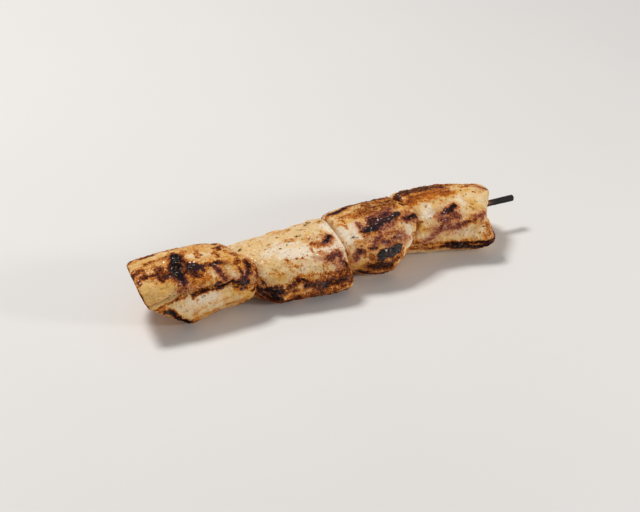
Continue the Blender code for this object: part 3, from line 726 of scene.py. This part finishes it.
def make_chunk(finish, material):
    """One chunk of chicken: fine skin, its unevenness and blisters, and the channels of its browning."""
    chunk = fine_skin(finish.node, finish.node.replace("chicken_chunk", "chicken_meat"))
    points, normals = places_of(chunk.data)
    skin = browned(points, finish)
    still = eased(0.3, 2.2, room_beside(points, finish.node))
    still *= eased(0.1, 1.6, points[:, 2])
    still *= eased(STICK_RADIUS + 0.3, CHANNEL_REACH, np.hypot(points[:, 1] - STICK_Y, points[:, 2] - STICK_Z))
    risen_points = points + normals * (risen(points, finish, skin) * still)[:, None]
    risen_points = cut_off(risen_points, finish)
    chunk.data.vertices.foreach_set("co", (eased_inside(risen_points) * MM).ravel())
    chunk.data.update()
    skin["loose"] = still * eased(1.5, 4.0, points[:, 2])
    paint(chunk.data, skin)
    chunk.data.materials.clear()
    chunk.data.materials.append(material)
    chunk.data.polygons.foreach_set("use_smooth", [True] * len(chunk.data.polygons))
    return chunk


# Materials


def linear(code):
    """A colour written as six hex digits, as Blender's four numbers."""
    parts = [int(code[place : place + 2], 16) / 255 for place in (1, 3, 5)]
    return [p / 12.92 if p <= 0.04045 else ((p + 0.055) / 1.055) ** 2.4 for p in parts] + [1.0]


def add(tree, kind, inputs=None, **settings):
    """A node with its settings and the values or links of its inputs."""
    node = tree.nodes.new(kind)
    for name, value in settings.items():
        setattr(node, name, value)
    for name, value in (inputs or {}).items():
        if isinstance(value, bpy.types.NodeSocket):
            tree.links.new(value, node.inputs[name])
        else:
            node.inputs[name].default_value = value
    return node


def maths(tree, operation, first, second=0.0):
    return add(tree, "ShaderNodeMath", {0: first, 1: second}, operation=operation).outputs[0]


def mapped(tree, value, from_low, from_high, to_low=0.0, to_high=1.0):
    """A value eased from one range into another."""
    limits = {"From Min": from_low, "From Max": from_high, "To Min": to_low, "To Max": to_high}
    node = add(tree, "ShaderNodeMapRange", {"Value": value, **limits}, interpolation_type="SMOOTHSTEP")
    return node.outputs["Result"]


def mixed(tree, share, first, second, blend_type="MIX"):
    """Two colours mixed."""
    node = add(tree, "ShaderNodeMix", data_type="RGBA", blend_type=blend_type)
    for place, value in ((0, share), (6, first), (7, second)):
        if isinstance(value, bpy.types.NodeSocket):
            tree.links.new(value, node.inputs[place])
        else:
            node.inputs[place].default_value = value
    return node.outputs[2]


def colour_scale(tree, value, stops):
    """Colours laid out over 0 to 1, as pairs of a place and a hex code."""
    node = add(tree, "ShaderNodeValToRGB", {"Fac": value})
    scale = node.color_ramp
    while len(scale.elements) < len(stops):
        scale.elements.new(1.0)
    for element, (place, code) in zip(scale.elements, stops):
        element.position = place
        element.color = linear(code)
    return node.outputs["Color"]


def noise_value(tree, place, size, detail=3.0, roughness=0.55, stretch=(1.0, 1.0, 1.0)):
    """Noise whose bumps are about as many millimetres wide as the size says."""
    spread = add(tree, "ShaderNodeMapping", {"Vector": place, "Scale": stretch}).outputs["Vector"]
    inputs = {"Vector": spread, "Scale": 1 / (size * MM), "Detail": detail, "Roughness": roughness}
    return add(tree, "ShaderNodeTexNoise", inputs).outputs["Fac"]


def new_group(name, inputs, outputs):
    """An empty shader node group with named sockets: (kind, name, value) in and (kind, name) out."""
    group = bpy.data.node_groups.new(name, "ShaderNodeTree")
    for kind, label, value in inputs:
        socket = group.interface.new_socket(label, in_out="INPUT", socket_type=kind)
        if value is not None:
            socket.default_value = value
    for kind, label in outputs:
        group.interface.new_socket(label, in_out="OUTPUT", socket_type=kind)
    start = group.nodes.new("NodeGroupInput")
    end = group.nodes.new("NodeGroupOutput")
    return group, start, end


FLOAT = "NodeSocketFloat"
COLOUR = "NodeSocketColor"
VECTOR = "NodeSocketVector"


def browning_group():
    """The colour of chicken by how far it is browned, and by the golden, pale and purplish tints in it; the pale
    tint is pale meat and painted sheen.
    """
    inputs = [(FLOAT, "Roast", 0.0), (FLOAT, "Gold", 0.0), (FLOAT, "Pale", 0.0), (FLOAT, "Plum", 0.0)]
    group, start, end = new_group("browning", inputs, [(COLOUR, "Colour")])
    roast = start.outputs["Roast"]
    meat = mixed(group, mapped(group, start.outputs["Gold"], 0.1, 0.9), linear(CREAM), linear(GOLDEN))
    # the pale tint: pale meat, and painted sheen where the pale marks stand for it
    meat = mixed(group, mapped(group, start.outputs["Pale"], 0.1, 0.9), meat, linear(PALE_MEAT_AND_SHEEN))
    seared = colour_scale(group, roast, ROAST_COLOURS)
    colour = mixed(group, mapped(group, roast, 0.06, 0.34), meat, seared)
    purplish = colour_scale(group, roast, PLUM_COLOURS)
    colour = mixed(group, start.outputs["Plum"], colour, purplish)
    group.links.new(colour, end.inputs["Colour"])
    return group


def unevenness_group():
    """Small differences from place to place, for any dry or oily food: a value round 0 and a fine height."""
    inputs = [(VECTOR, "Place", None), (FLOAT, "Speck size", 0.6)]
    group, start, end = new_group("unevenness", inputs, [(FLOAT, "Value"), (FLOAT, "Height")])
    size = maths(group, "DIVIDE", 1 / MM, start.outputs["Speck size"])
    spots = {"Vector": start.outputs["Place"], "Scale": size, "Detail": 4.0, "Roughness": 0.6}
    noise = add(group, "ShaderNodeTexNoise", spots).outputs["Fac"]
    group.links.new(maths(group, "SUBTRACT", noise, 0.5), end.inputs["Value"])
    group.links.new(noise, end.inputs["Height"])
    return group


CREAM = "#f6d39a"
GOLDEN = "#edb65e"
# the palest meat's colour, which the pale marks also use as painted sheen
PALE_MEAT_AND_SHEEN = "#ffecd2"
ROAST_COLOURS = (
    (0.0, "#f1c788"),
    (0.13, "#e6ae5e"),
    (0.25, "#dd9035"),
    (0.35, "#cc7424"),
    (0.45, "#ad5a1e"),
    (0.55, "#82401d"),
    (0.65, "#56281b"),
    (0.76, "#391812"),
    (0.87, "#211110"),
    (1.0, "#120d0f"),
)
PLUM_COLOURS = (
    (0.0, "#dfa788"),
    (0.25, "#c27a5a"),
    (0.50, "#8f4a3a"),
    (0.72, "#592b2c"),
    (0.88, "#2c171e"),
    (1.0, "#150f14"),
)
OLIVE = "#3e2208"
FRECKLE = "#b56d22"
BLISTER_BLACK = "#0a0b0f"
BLISTER_BROWN = "#54262a"


def new_material(name):
    material = bpy.data.materials.new(name)
    material.use_nodes = True
    tree = material.node_tree
    shader = tree.nodes["Principled BSDF"]
    place = tree.nodes.new("ShaderNodeTexCoord").outputs["Object"]
    return material, tree, shader, place


def channel(tree, name):
    return add(tree, "ShaderNodeAttribute", attribute_name=name).outputs["Fac"]


def meat_material(groups):
    """Grilled chicken: cream to golden meat, browned and blackened by its channels, and oily here and there."""
    material, tree, shader, place = new_material("grilled_chicken_meat")
    mottle = noise_value(tree, place, 1.5, 5.0, 0.62)
    flecks = noise_value(tree, place, 0.55, 3.0, 0.6)
    roast = channel(tree, "roast")
    grain = channel(tree, "grain")
    restless = maths(tree, "MULTIPLY", maths(tree, "SUBTRACT", mottle, 0.5), 0.9)
    restless = maths(tree, "ADD", restless, maths(tree, "MULTIPLY", maths(tree, "SUBTRACT", flecks, 0.5), 1.45))
    restless = maths(tree, "ADD", restless, maths(tree, "MULTIPLY", grain, 0.10))
    liveliness = mapped(tree, roast, 0.02, 0.5, 0.3, 1.0)
    liveliness = maths(tree, "MULTIPLY", liveliness, mapped(tree, roast, 0.5, 0.75, 1.0, 0.6))
    restful = mapped(tree, channel(tree, "calm"), 0.2, 1.0, 1.0, 0.5)
    liveliness = maths(tree, "MULTIPLY", liveliness, restful)
    heat = maths(tree, "ADD", roast, maths(tree, "MULTIPLY", restless, liveliness))
    browning = add(tree, "ShaderNodeGroup", node_tree=groups["browning"])
    tree.links.new(heat, browning.inputs["Roast"])
    for name in ("Gold", "Pale", "Plum"):
        tree.links.new(channel(tree, name.lower()), browning.inputs[name])
    colour = browning.outputs["Colour"]
    baked_in = maths(tree, "MULTIPLY", channel(tree, "olive"), mapped(tree, flecks, 0.3, 0.5, 0.4, 1.0))
    colour = mixed(tree, baked_in, colour, linear(OLIVE))
    freckled = mapped(tree, noise_value(tree, place, 1.3, 2.0, 0.5), 0.60, 0.69)
    colour = mixed(tree, maths(tree, "MULTIPLY", freckled, 0.6), colour, linear(FRECKLE))
    streaky = mapped(tree, noise_value(tree, place, 5.0, 1.0), 0.46, 0.60, 0.0, 0.4)
    streaks = maths(tree, "MULTIPLY", mapped(tree, grain, 0.32, 0.46), maths(tree, "MULTIPLY", streaky, restful))
    colour = mixed(tree, streaks, colour, linear(FRECKLE), "MULTIPLY")
    blister = channel(tree, "blister")
    crust = channel(tree, "crust")
    reddish = mapped(tree, noise_value(tree, place, 2.2, 2.0), 0.48, 0.60, 0.0, 0.35)
    reddish = maths(tree, "MAXIMUM", reddish, channel(tree, "plum"))
    skin_tint = mixed(tree, reddish, linear(BLISTER_BLACK), linear(BLISTER_BROWN))
    colour = mixed(tree, mapped(tree, blister, 0.25, 0.6, 0.0, 0.9), colour, skin_tint)
    tree.links.new(colour, shader.inputs["Base Color"])

    oily = mapped(tree, noise_value(tree, place, 6.0, 2.0), 0.42, 0.62)
    dry = mapped(tree, heat, 0.5, 0.95, 0.44, 0.72)
    dry = maths(tree, "SUBTRACT", dry, maths(tree, "MULTIPLY", oily, 0.12))
    dry = maths(tree, "SUBTRACT", dry, maths(tree, "MULTIPLY", blister, 0.32))
    tree.links.new(dry, shader.inputs["Roughness"])
    beaded = mapped(tree, noise_value(tree, place, 1.1, 2.0), 0.50, 0.60)
    juicy = maths(tree, "MAXIMUM", crust, channel(tree, "plum"))
    glossy = maths(tree, "MAXIMUM", maths(tree, "MULTIPLY", blister, 0.5), maths(tree, "MULTIPLY", maths(tree, "MULTIPLY", juicy, 0.75), beaded))
    oily = maths(tree, "MULTIPLY", oily, maths(tree, "MULTIPLY", restful, restful))
    oiled = maths(tree, "MULTIPLY", oily, maths(tree, "ADD", maths(tree, "MULTIPLY", beaded, 0.75), 0.06))
    wet = maths(tree, "MAXIMUM", oiled, glossy)
    tree.links.new(wet, shader.inputs["Coat Weight"])

    specks = add(tree, "ShaderNodeGroup", {"Place": place, "Speck size": 0.5}, node_tree=groups["unevenness"])
    grit = mapped(tree, blister, 0.15, 0.6, 1.6, 0.03)
    height = maths(tree, "MULTIPLY", specks.outputs["Height"], grit)
    bump = add(tree, "ShaderNodeBump", {"Height": height, "Strength": 0.9, "Distance": 0.32 * MM})
    tree.links.new(bump.outputs["Normal"], shader.inputs["Normal"])
    shader.inputs["Coat Roughness"].default_value = 0.15
    shader.inputs["Coat IOR"].default_value = 1.6
    shader.inputs["Subsurface Weight"].default_value = 0.08
    shader.inputs["Subsurface Radius"].default_value = (1.0, 0.5, 0.25)
    shader.inputs["Subsurface Scale"].default_value = 0.6 * MM
    shader.inputs["Specular IOR Level"].default_value = 0.05
    return material


def bit_material(groups, name, dark, light, speck_size, roughness):
    """A dry bit of herb, pepper, spice or char, between two colours."""
    material, tree, shader, place = new_material(name)
    uneven = add(tree, "ShaderNodeGroup", {"Place": place, "Speck size": speck_size}, node_tree=groups["unevenness"])
    share = mapped(tree, uneven.outputs["Value"], -0.16, 0.16)
    tree.links.new(mixed(tree, share, linear(dark), linear(light)), shader.inputs["Base Color"])
    bump = add(tree, "ShaderNodeBump", {"Height": uneven.outputs["Height"], "Strength": 0.5, "Distance": 0.1 * MM})
    tree.links.new(bump.outputs["Normal"], shader.inputs["Normal"])
    shader.inputs["Roughness"].default_value = roughness
    shader.inputs["Specular IOR Level"].default_value = 0.1
    return material


def wood_material(groups):
    """The skewer: brown and oily where it leaves the meat, charred black towards its end, and darker underneath as
    painted shade.
    """
    material, tree, shader, place = new_material("charred_wood")
    grain = noise_value(tree, place, 0.45, 4.0, 0.6, (0.07, 1.0, 1.0))
    axes = add(tree, "ShaderNodeSeparateXYZ", {"Vector": place})
    burnt = mapped(tree, axes.outputs["X"], 75.0 * MM, 83.0 * MM)
    # painted shade: the lower side of the stick is made darker, added into the char
    shaded = mapped(tree, axes.outputs["Z"], 14.6 * MM, 13.4 * MM, 0.0, 0.5)
    burnt = maths(tree, "ADD", burnt, shaded)
    burnt = maths(tree, "ADD", burnt, maths(tree, "MULTIPLY", maths(tree, "SUBTRACT", grain, 0.5), 0.9))
    colour = colour_scale(tree, burnt, WOOD_COLOURS)
    tree.links.new(colour, shader.inputs["Base Color"])
    tree.links.new(mapped(tree, burnt, 0.2, 0.9, 0.45, 0.7), shader.inputs["Roughness"])
    shader.inputs["Specular IOR Level"].default_value = 0.32
    uneven = add(tree, "ShaderNodeGroup", {"Place": place, "Speck size": 0.4}, node_tree=groups["unevenness"])
    height = maths(tree, "ADD", grain, maths(tree, "MULTIPLY", uneven.outputs["Height"], 0.4))
    bump = add(tree, "ShaderNodeBump", {"Height": height, "Strength": 0.6, "Distance": 0.12 * MM})
    tree.links.new(bump.outputs["Normal"], shader.inputs["Normal"])
    return material


WOOD_COLOURS = (
    (0.0, "#a8703c"),
    (0.30, "#74492c"),
    (0.60, "#3f2c2a"),
    (0.85, "#272122"),
    (1.0, "#1c191a"),
)


def floor_material():
    material, tree, shader, place = new_material("pale_floor")
    shade = noise_value(tree, place, 90.0, 2.0)
    tree.links.new(mixed(tree, shade, linear("#e9e7e5"), linear("#eceae8")), shader.inputs["Base Color"])
    shader.inputs["Roughness"].default_value = 0.6
    return material


# The skewer and the loose bits, by geometry nodes


def new_geometry_tree(name, inputs):
    """A geometry node tree with named inputs: (kind, name, value)."""
    tree = bpy.data.node_groups.new(name, "GeometryNodeTree")
    tree.interface.new_socket("Geometry", in_out="INPUT", socket_type="NodeSocketGeometry")
    for kind, label, value in inputs:
        socket = tree.interface.new_socket(label, in_out="INPUT", socket_type=kind)
        if value is not None:
            socket.default_value = value
    tree.interface.new_socket("Geometry", in_out="OUTPUT", socket_type="NodeSocketGeometry")
    start = tree.nodes.new("NodeGroupInput")
    end = tree.nodes.new("NodeGroupOutput")
    return tree, start.outputs, end.inputs


def grow(obj, tree, **values):
    """Runs a geometry node tree on an object, with the inputs named here, and keeps its result as a plain mesh."""
    modifier = obj.modifiers.new(tree.name, "NODES")
    modifier.node_group = tree
    for item in tree.interface.items_tree:
        label = item.name.lower().replace(" ", "_")
        if item.in_out == "INPUT" and label in values:
            modifier[item.identifier] = values[label]
    bake_shape(obj)


OBJECT = "NodeSocketObject"
MATERIAL = "NodeSocketMaterial"
INT = "NodeSocketInt"


def skewer_tree():
    """A round stick along X with a pointed and a blunt end, whose charred surface is cracked along the grain."""
    inputs = [
        (VECTOR, "Start", None),
        (VECTOR, "End", None),
        (FLOAT, "Radius", 1.5 * MM),
        (FLOAT, "Point length", 9 * MM),
        (FLOAT, "End rounding", 0.7 * MM),
        (FLOAT, "Crack depth", 0.16 * MM),
        (MATERIAL, "Material", None),
    ]
    tree, given, result = new_geometry_tree("skewer", inputs)
    line = add(tree, "GeometryNodeCurvePrimitiveLine", {"Start": given["Start"], "End": given["End"]})
    line = add(tree, "GeometryNodeResampleCurve", {"Curve": line.outputs["Curve"], "Count": 620})
    along = add(tree, "GeometryNodeSplineParameter").outputs["Length"]
    whole = add(tree, "GeometryNodeSplineLength").outputs["Length"]
    left = maths(tree, "SUBTRACT", whole, along)
    pointed = add(tree, "ShaderNodeMapRange", {"Value": along, "From Max": given["Point length"], "To Min": 0.04})
    corner = add(tree, "ShaderNodeMapRange", {"Value": left, "From Max": given["End rounding"]}).outputs["Result"]
    corner = maths(tree, "SUBTRACT", 1.0, corner)
    corner = maths(tree, "MULTIPLY", maths(tree, "MULTIPLY", corner, corner), 0.42)
    blunt = maths(tree, "SUBTRACT", 1.0, corner)
    radius = maths(tree, "MULTIPLY", given["Radius"], maths(tree, "MULTIPLY", pointed.outputs["Result"], blunt))
    ring = add(tree, "GeometryNodeCurvePrimitiveCircle", {"Resolution": 40, "Radius": 1.0}).outputs["Curve"]
    swept = {"Curve": line.outputs["Curve"], "Profile Curve": ring, "Scale": radius, "Fill Caps": True}
    stick = add(tree, "GeometryNodeCurveToMesh", swept)

    place = add(tree, "GeometryNodeInputPosition").outputs["Position"]
    drawn_out = add(tree, "ShaderNodeVectorMath", {0: place, 1: (0.12, 1.0, 1.0)}, operation="MULTIPLY")
    cracks = add(tree, "ShaderNodeTexNoise", {"Vector": drawn_out.outputs[0], "Scale": 1500.0, "Detail": 4.0})
    depth = maths(tree, "ABSOLUTE", maths(tree, "SUBTRACT", cracks.outputs["Fac"], 0.5))
    depth = add(tree, "ShaderNodeMapRange", {"Value": depth, "From Max": 0.12, "To Min": -1.0, "To Max": 0.0})
    lumps = add(tree, "ShaderNodeTexNoise", {"Vector": place, "Scale": 320.0, "Detail": 2.0})
    lumps = maths(tree, "MULTIPLY", maths(tree, "SUBTRACT", lumps.outputs["Fac"], 0.62), 1.2)
    depth = maths(tree, "ADD", depth.outputs["Result"], lumps)
    depth = maths(tree, "MINIMUM", depth, 0.0)
    depth = maths(tree, "MULTIPLY", depth, given["Crack depth"])
    outwards = add(tree, "GeometryNodeInputNormal").outputs["Normal"]
    move = add(tree, "ShaderNodeVectorMath", {0: outwards, "Scale": depth}, operation="SCALE")
    carved = add(tree, "GeometryNodeSetPosition", {"Geometry": stick.outputs["Mesh"], "Offset": move.outputs[0]})
    smooth = add(tree, "GeometryNodeSetShadeSmooth", {"Geometry": carved.outputs["Geometry"]})
    whole_mesh = add(tree, "GeometryNodeRealizeInstances", {"Geometry": smooth.outputs["Geometry"]})
    finish = {"Geometry": whole_mesh.outputs["Geometry"], "Material": given["Material"]}
    coated = add(tree, "GeometryNodeSetMaterial", finish)
    tree.links.new(coated.outputs["Geometry"], result["Geometry"])
    return tree


def chance_value(tree, low, high, seed):
    """A value by chance between two others, for each point."""
    low_place, high_place, value_place = 2, 3, 1  # of the sockets for plain numbers
    inputs = {low_place: low, high_place: high, "Seed": seed}
    return add(tree, "FunctionNodeRandomValue", inputs, data_type="FLOAT").outputs[value_place]


def strewn_tree():
    """Bits strewn over a surface: each turned by chance, lying on the surface, and sunk into it a little."""
    inputs = [
        (OBJECT, "Bit", None),
        (FLOAT, "Density", 1000.0),
        (FLOAT, "Smallest", 0.5),
        (FLOAT, "Largest", 1.0),
        (FLOAT, "Sink", 0.1 * MM),
        (FLOAT, "Least roast", -1.0),
        (FLOAT, "Most roast", 2.0),
        (INT, "Seed", 1),
        (MATERIAL, "Material", None),
    ]
    tree, given, result = new_geometry_tree("strewn bits", inputs)
    loose = add(tree, "GeometryNodeInputNamedAttribute", {"Name": "loose"}, data_type="FLOAT").outputs["Attribute"]
    roast = add(tree, "GeometryNodeInputNamedAttribute", {"Name": "roast"}, data_type="FLOAT").outputs["Attribute"]
    place = add(tree, "GeometryNodeInputPosition").outputs["Position"]
    heaps = add(tree, "ShaderNodeTexNoise", {"Vector": place, "Scale": 110.0, "Detail": 1.0}).outputs["Fac"]
    heaps = add(tree, "ShaderNodeMapRange", {"Value": heaps, "From Min": 0.36, "From Max": 0.66, "To Min": 0.1})
    hot_enough = maths(tree, "GREATER_THAN", roast, given["Least roast"])
    cool_enough = maths(tree, "LESS_THAN", roast, given["Most roast"])
    wanted = maths(tree, "MULTIPLY", maths(tree, "MULTIPLY", hot_enough, cool_enough), loose)
    wanted = maths(tree, "MULTIPLY", maths(tree, "MULTIPLY", wanted, heaps.outputs["Result"]), given["Density"])
    spread = {"Mesh": given["Geometry"], "Density": wanted, "Seed": given["Seed"]}
    spots = add(tree, "GeometryNodeDistributePointsOnFaces", spread)
    sunk = maths(tree, "MULTIPLY", given["Sink"], -1.0)
    downwards = add(tree, "ShaderNodeVectorMath", {0: spots.outputs["Normal"], "Scale": sunk}, operation="SCALE")
    lying = {"Geometry": spots.outputs["Points"], "Offset": downwards.outputs[0]}
    spots_down = add(tree, "GeometryNodeSetPosition", lying).outputs["Geometry"]
    turn = chance_value(tree, 0.0, math.tau, given["Seed"])
    own_turn = add(tree, "FunctionNodeAxisAngleToRotation", {"Axis": (0.0, 0.0, 1.0), "Angle": turn})
    turned = {"Rotation": spots.outputs["Rotation"], "Rotate By": own_turn.outputs["Rotation"]}
    turned = add(tree, "FunctionNodeRotateRotation", turned, rotation_space="LOCAL").outputs["Rotation"]
    size = chance_value(tree, given["Smallest"], given["Largest"], maths(tree, "ADD", given["Seed"], 1.0))
    bit = add(tree, "GeometryNodeObjectInfo", {"Object": given["Bit"]}).outputs["Geometry"]
    laid = {"Points": spots_down, "Instance": bit, "Rotation": turned, "Scale": size}
    laid = add(tree, "GeometryNodeInstanceOnPoints", laid)
    real = add(tree, "GeometryNodeRealizeInstances", {"Geometry": laid.outputs["Instances"]})
    coat = {"Geometry": real.outputs["Geometry"], "Material": given["Material"]}
    coated = add(tree, "GeometryNodeSetMaterial", coat)
    tree.links.new(coated.outputs["Geometry"], result["Geometry"])
    return tree


def grain_bit(name, length, width, thickness, seed):
    """One small irregular bit, lying flat."""
    chance = random.Random(seed)
    shape = bmesh.new()
    bmesh.ops.create_icosphere(shape, subdivisions=1, radius=0.5)
    for corner in shape.verts:
        size = chance.uniform(0.75, 1.1)
        corner.co = Vector((corner.co.x * length, corner.co.y * width, corner.co.z * thickness)) * size * MM
    mesh = bpy.data.meshes.new(name)
    shape.to_mesh(mesh)
    shape.free()
    return object_of(name, mesh)


def leaf_bit(name, length, width, seed):
    """One torn bit of dried leaf: a thin, curled and ragged strip."""
    chance = random.Random(seed)
    shape = bmesh.new()
    bmesh.ops.create_grid(shape, x_segments=5, y_segments=3, size=0.5)
    for corner in shape.verts:
        along = corner.co.x * 2
        taper = 1 - 0.55 * along * along
        ragged = chance.uniform(0.75, 1.15)
        curl = 0.10 * along * along + 0.22 * abs(corner.co.y) * 2 * ragged
        x = corner.co.x * length * chance.uniform(0.92, 1.05)
        y = corner.co.y * width * taper * ragged
        corner.co = Vector((x, y, curl * width)) * MM
    top = shape.faces[:]
    bmesh.ops.solidify(shape, geom=top, thickness=0.14 * MM)
    bmesh.ops.recalc_face_normals(shape, faces=shape.faces[:])
    mesh = bpy.data.meshes.new(name)
    shape.to_mesh(mesh)
    shape.free()
    return object_of(name, mesh)


def joined_copy(name, pieces):
    """The pieces' meshes together as one new object."""
    shape = bmesh.new()
    for piece in pieces:
        shape.from_mesh(piece.data)
    mesh = bpy.data.meshes.new(name)
    shape.to_mesh(mesh)
    shape.free()
    return object_of(name, mesh)


def strew(name, chunks, tree, bit, material, **values):
    """One kind of loose bit over all the chunks, as one piece."""
    bits = joined_copy(name, chunks)
    grow(bits, tree, bit=bit, material=material, **values)
    bpy.data.objects.remove(bit)
    return bits


def lay_sprigs(chunks, material):
    """The bits of herb that lie at their own places."""
    by_node = {finish.node: chunk for finish, chunk in zip(FINISHES, chunks)}
    shape = bmesh.new()
    for number, sprig in enumerate(SPRIGS):
        mesh = by_node[sprig.node].data
        tree = BVHTree.FromPolygons([v.co for v in mesh.vertices], [p.vertices for p in mesh.polygons])
        angle = math.radians(sprig.angle)
        inwards = Vector((0.0, math.cos(angle), -math.sin(angle)))
        far_out = Vector((sprig.x + LISTS_START, MIDDLE_Y, MIDDLE_Z)) * MM - inwards * 60 * MM
        spot, normal, _, _ = tree.ray_cast(far_out, inwards)
        along = Vector((1.0, 0.0, 0.0))
        along = (along - normal * along.dot(normal)).normalized()
        frame_of_spot = Matrix((along, normal.cross(along), normal)).transposed().to_4x4()
        turn = Matrix.Rotation(math.radians(sprig.heading), 4, "Z")
        bit = leaf_bit("sprig", sprig.length, sprig.width, 200 + number)
        bit.data.transform(Matrix.Translation(spot - normal * 0.08 * MM) @ frame_of_spot @ turn)
        shape.from_mesh(bit.data)
        bpy.data.objects.remove(bit)
    mesh = bpy.data.meshes.new("herb_sprigs")
    shape.to_mesh(mesh)
    shape.free()
    mesh.materials.append(material)
    return object_of("herb_sprigs", mesh)


def make_skewer(material):
    """The charred skewer, from its buried point to the blunt end in the open."""
    low, high = (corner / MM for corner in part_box("skewer_stick"))
    middle_y = (low.y + high.y) / 2
    middle_z = (low.z + high.z) / 2
    stick = object_of("charred_skewer", bpy.data.meshes.new("charred_skewer"))
    ends = {
        "start": Vector((low.x, middle_y, middle_z)) * MM,
        "end": Vector((high.x, middle_y, middle_z)) * MM,
    }
    grow(stick, skewer_tree(), material=material, radius=(high.z - low.z) / 2 * MM, **ends)
    return stick


# The studio


def make_floor():
    floor_shape = bmesh.new()
    bmesh.ops.create_grid(floor_shape, x_segments=1, y_segments=1, size=3.0)
    mesh = bpy.data.meshes.new("floor")
    floor_shape.to_mesh(mesh)
    floor_shape.free()
    mesh.transform(Matrix.Translation((0.0, 0.0, -0.02 * MM)))
    mesh.materials.append(floor_material())
    floor = object_of("floor", mesh)


def make_light(name, direction, distance, size, power, colour):
    """A soft square lamp that looks at the kebab's middle."""
    lamp = bpy.data.lights.new(name, "AREA")
    lamp.size = size
    lamp.energy = power
    lamp.color = colour
    light = object_of(name, lamp)
    towards = Vector(direction).normalized()
    light.location = towards * distance
    light.rotation_euler = towards.to_track_quat("Z", "Y").to_euler()


def make_camera():
    """The camera, at the front and to the left, looking down on the kebab."""
    azimuth = math.radians(-23.35)
    elevation = math.radians(34)
    flat = math.cos(elevation)
    back = Vector((math.sin(azimuth) * flat, -math.cos(azimuth) * flat, math.sin(elevation)))
    camera = bpy.data.cameras.new("camera")
    camera.lens = 81.2
    camera.sensor_width = 36.0
    camera.clip_start = 0.01
    holder = object_of("camera", camera)
    holder.location = Vector((-7.25, -1.4, 12.0)) * MM + back * 620 * MM
    holder.rotation_euler = back.to_track_quat("Z", "Y").to_euler()
    bpy.context.scene.camera = holder


def make_studio():
    make_floor()
    make_light("window", (-0.26, 0.48, 1.0), 1.1, 0.24, 8.1, (1.0, 0.985, 0.96))
    make_light("fill", (1.05, -1.0, 0.5), 0.65, 0.1, 1.40, (1.0, 0.99, 0.97))
    world = bpy.data.worlds.new("soft room")
    world.use_nodes = True
    sky = world.node_tree.nodes["Background"]
    sky.inputs["Color"].default_value = (1.0, 0.99, 0.98, 1.0)
    sky.inputs["Strength"].default_value = 0.27
    bpy.context.scene.world = world
    bpy.context.scene.view_settings.view_transform = "Standard"
    make_camera()


# The whole kebab

groups = {"browning": browning_group(), "unevenness": unevenness_group()}
meat = meat_material(groups)
herb = bit_material(groups, "dried_herb", "#3a2006", "#7d5218", 0.5, 0.9)
pepper = bit_material(groups, "cracked_pepper", "#341a06", "#7a4818", 0.3, 0.9)
spice = bit_material(groups, "ochre_spice", "#8a5222", "#c88a42", 0.4, 0.55)
char = bit_material(groups, "char_crumb", "#120f0f", "#33241d", 0.3, 0.7)
wood = wood_material(groups)

make_studio()

chunks = [make_chunk(finish, meat) for finish in FINISHES]
strewn = strewn_tree()
bits = [
    strew(
        "herb_flakes", chunks, strewn, leaf_bit("leaf", 1.0, 0.55, 3), herb,
        density=16000.0, smallest=0.5, largest=1.25, sink=0.05 * MM, most_roast=0.8, seed=4,
    ),
    strew(
        "pepper_grains", chunks, strewn, grain_bit("pepper", 0.5, 0.4, 0.28, 5), pepper,
        density=42000.0, smallest=0.5, largest=1.4, sink=0.03 * MM, seed=6,
    ),
    strew(
        "spice_grains", chunks, strewn, grain_bit("spice", 0.55, 0.4, 0.25, 7), spice,
        density=40000.0, smallest=0.5, largest=1.2, sink=0.03 * MM, seed=8,
    ),
    strew(
        "char_crumbs", chunks, strewn, grain_bit("crumb", 0.6, 0.45, 0.4, 9), char,
        density=160000.0, smallest=0.4, largest=1.2, sink=0.05 * MM, least_roast=0.8, seed=10,
    ),
    lay_sprigs(chunks, herb),
]
stick = make_skewer(wood)

for finish, chunk in zip(FINISHES, chunks):
    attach(chunk, BODY)
    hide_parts(finish.node)
for bit in bits:
    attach(bit, BODY)
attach(stick, BODY)
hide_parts("skewer_stick")
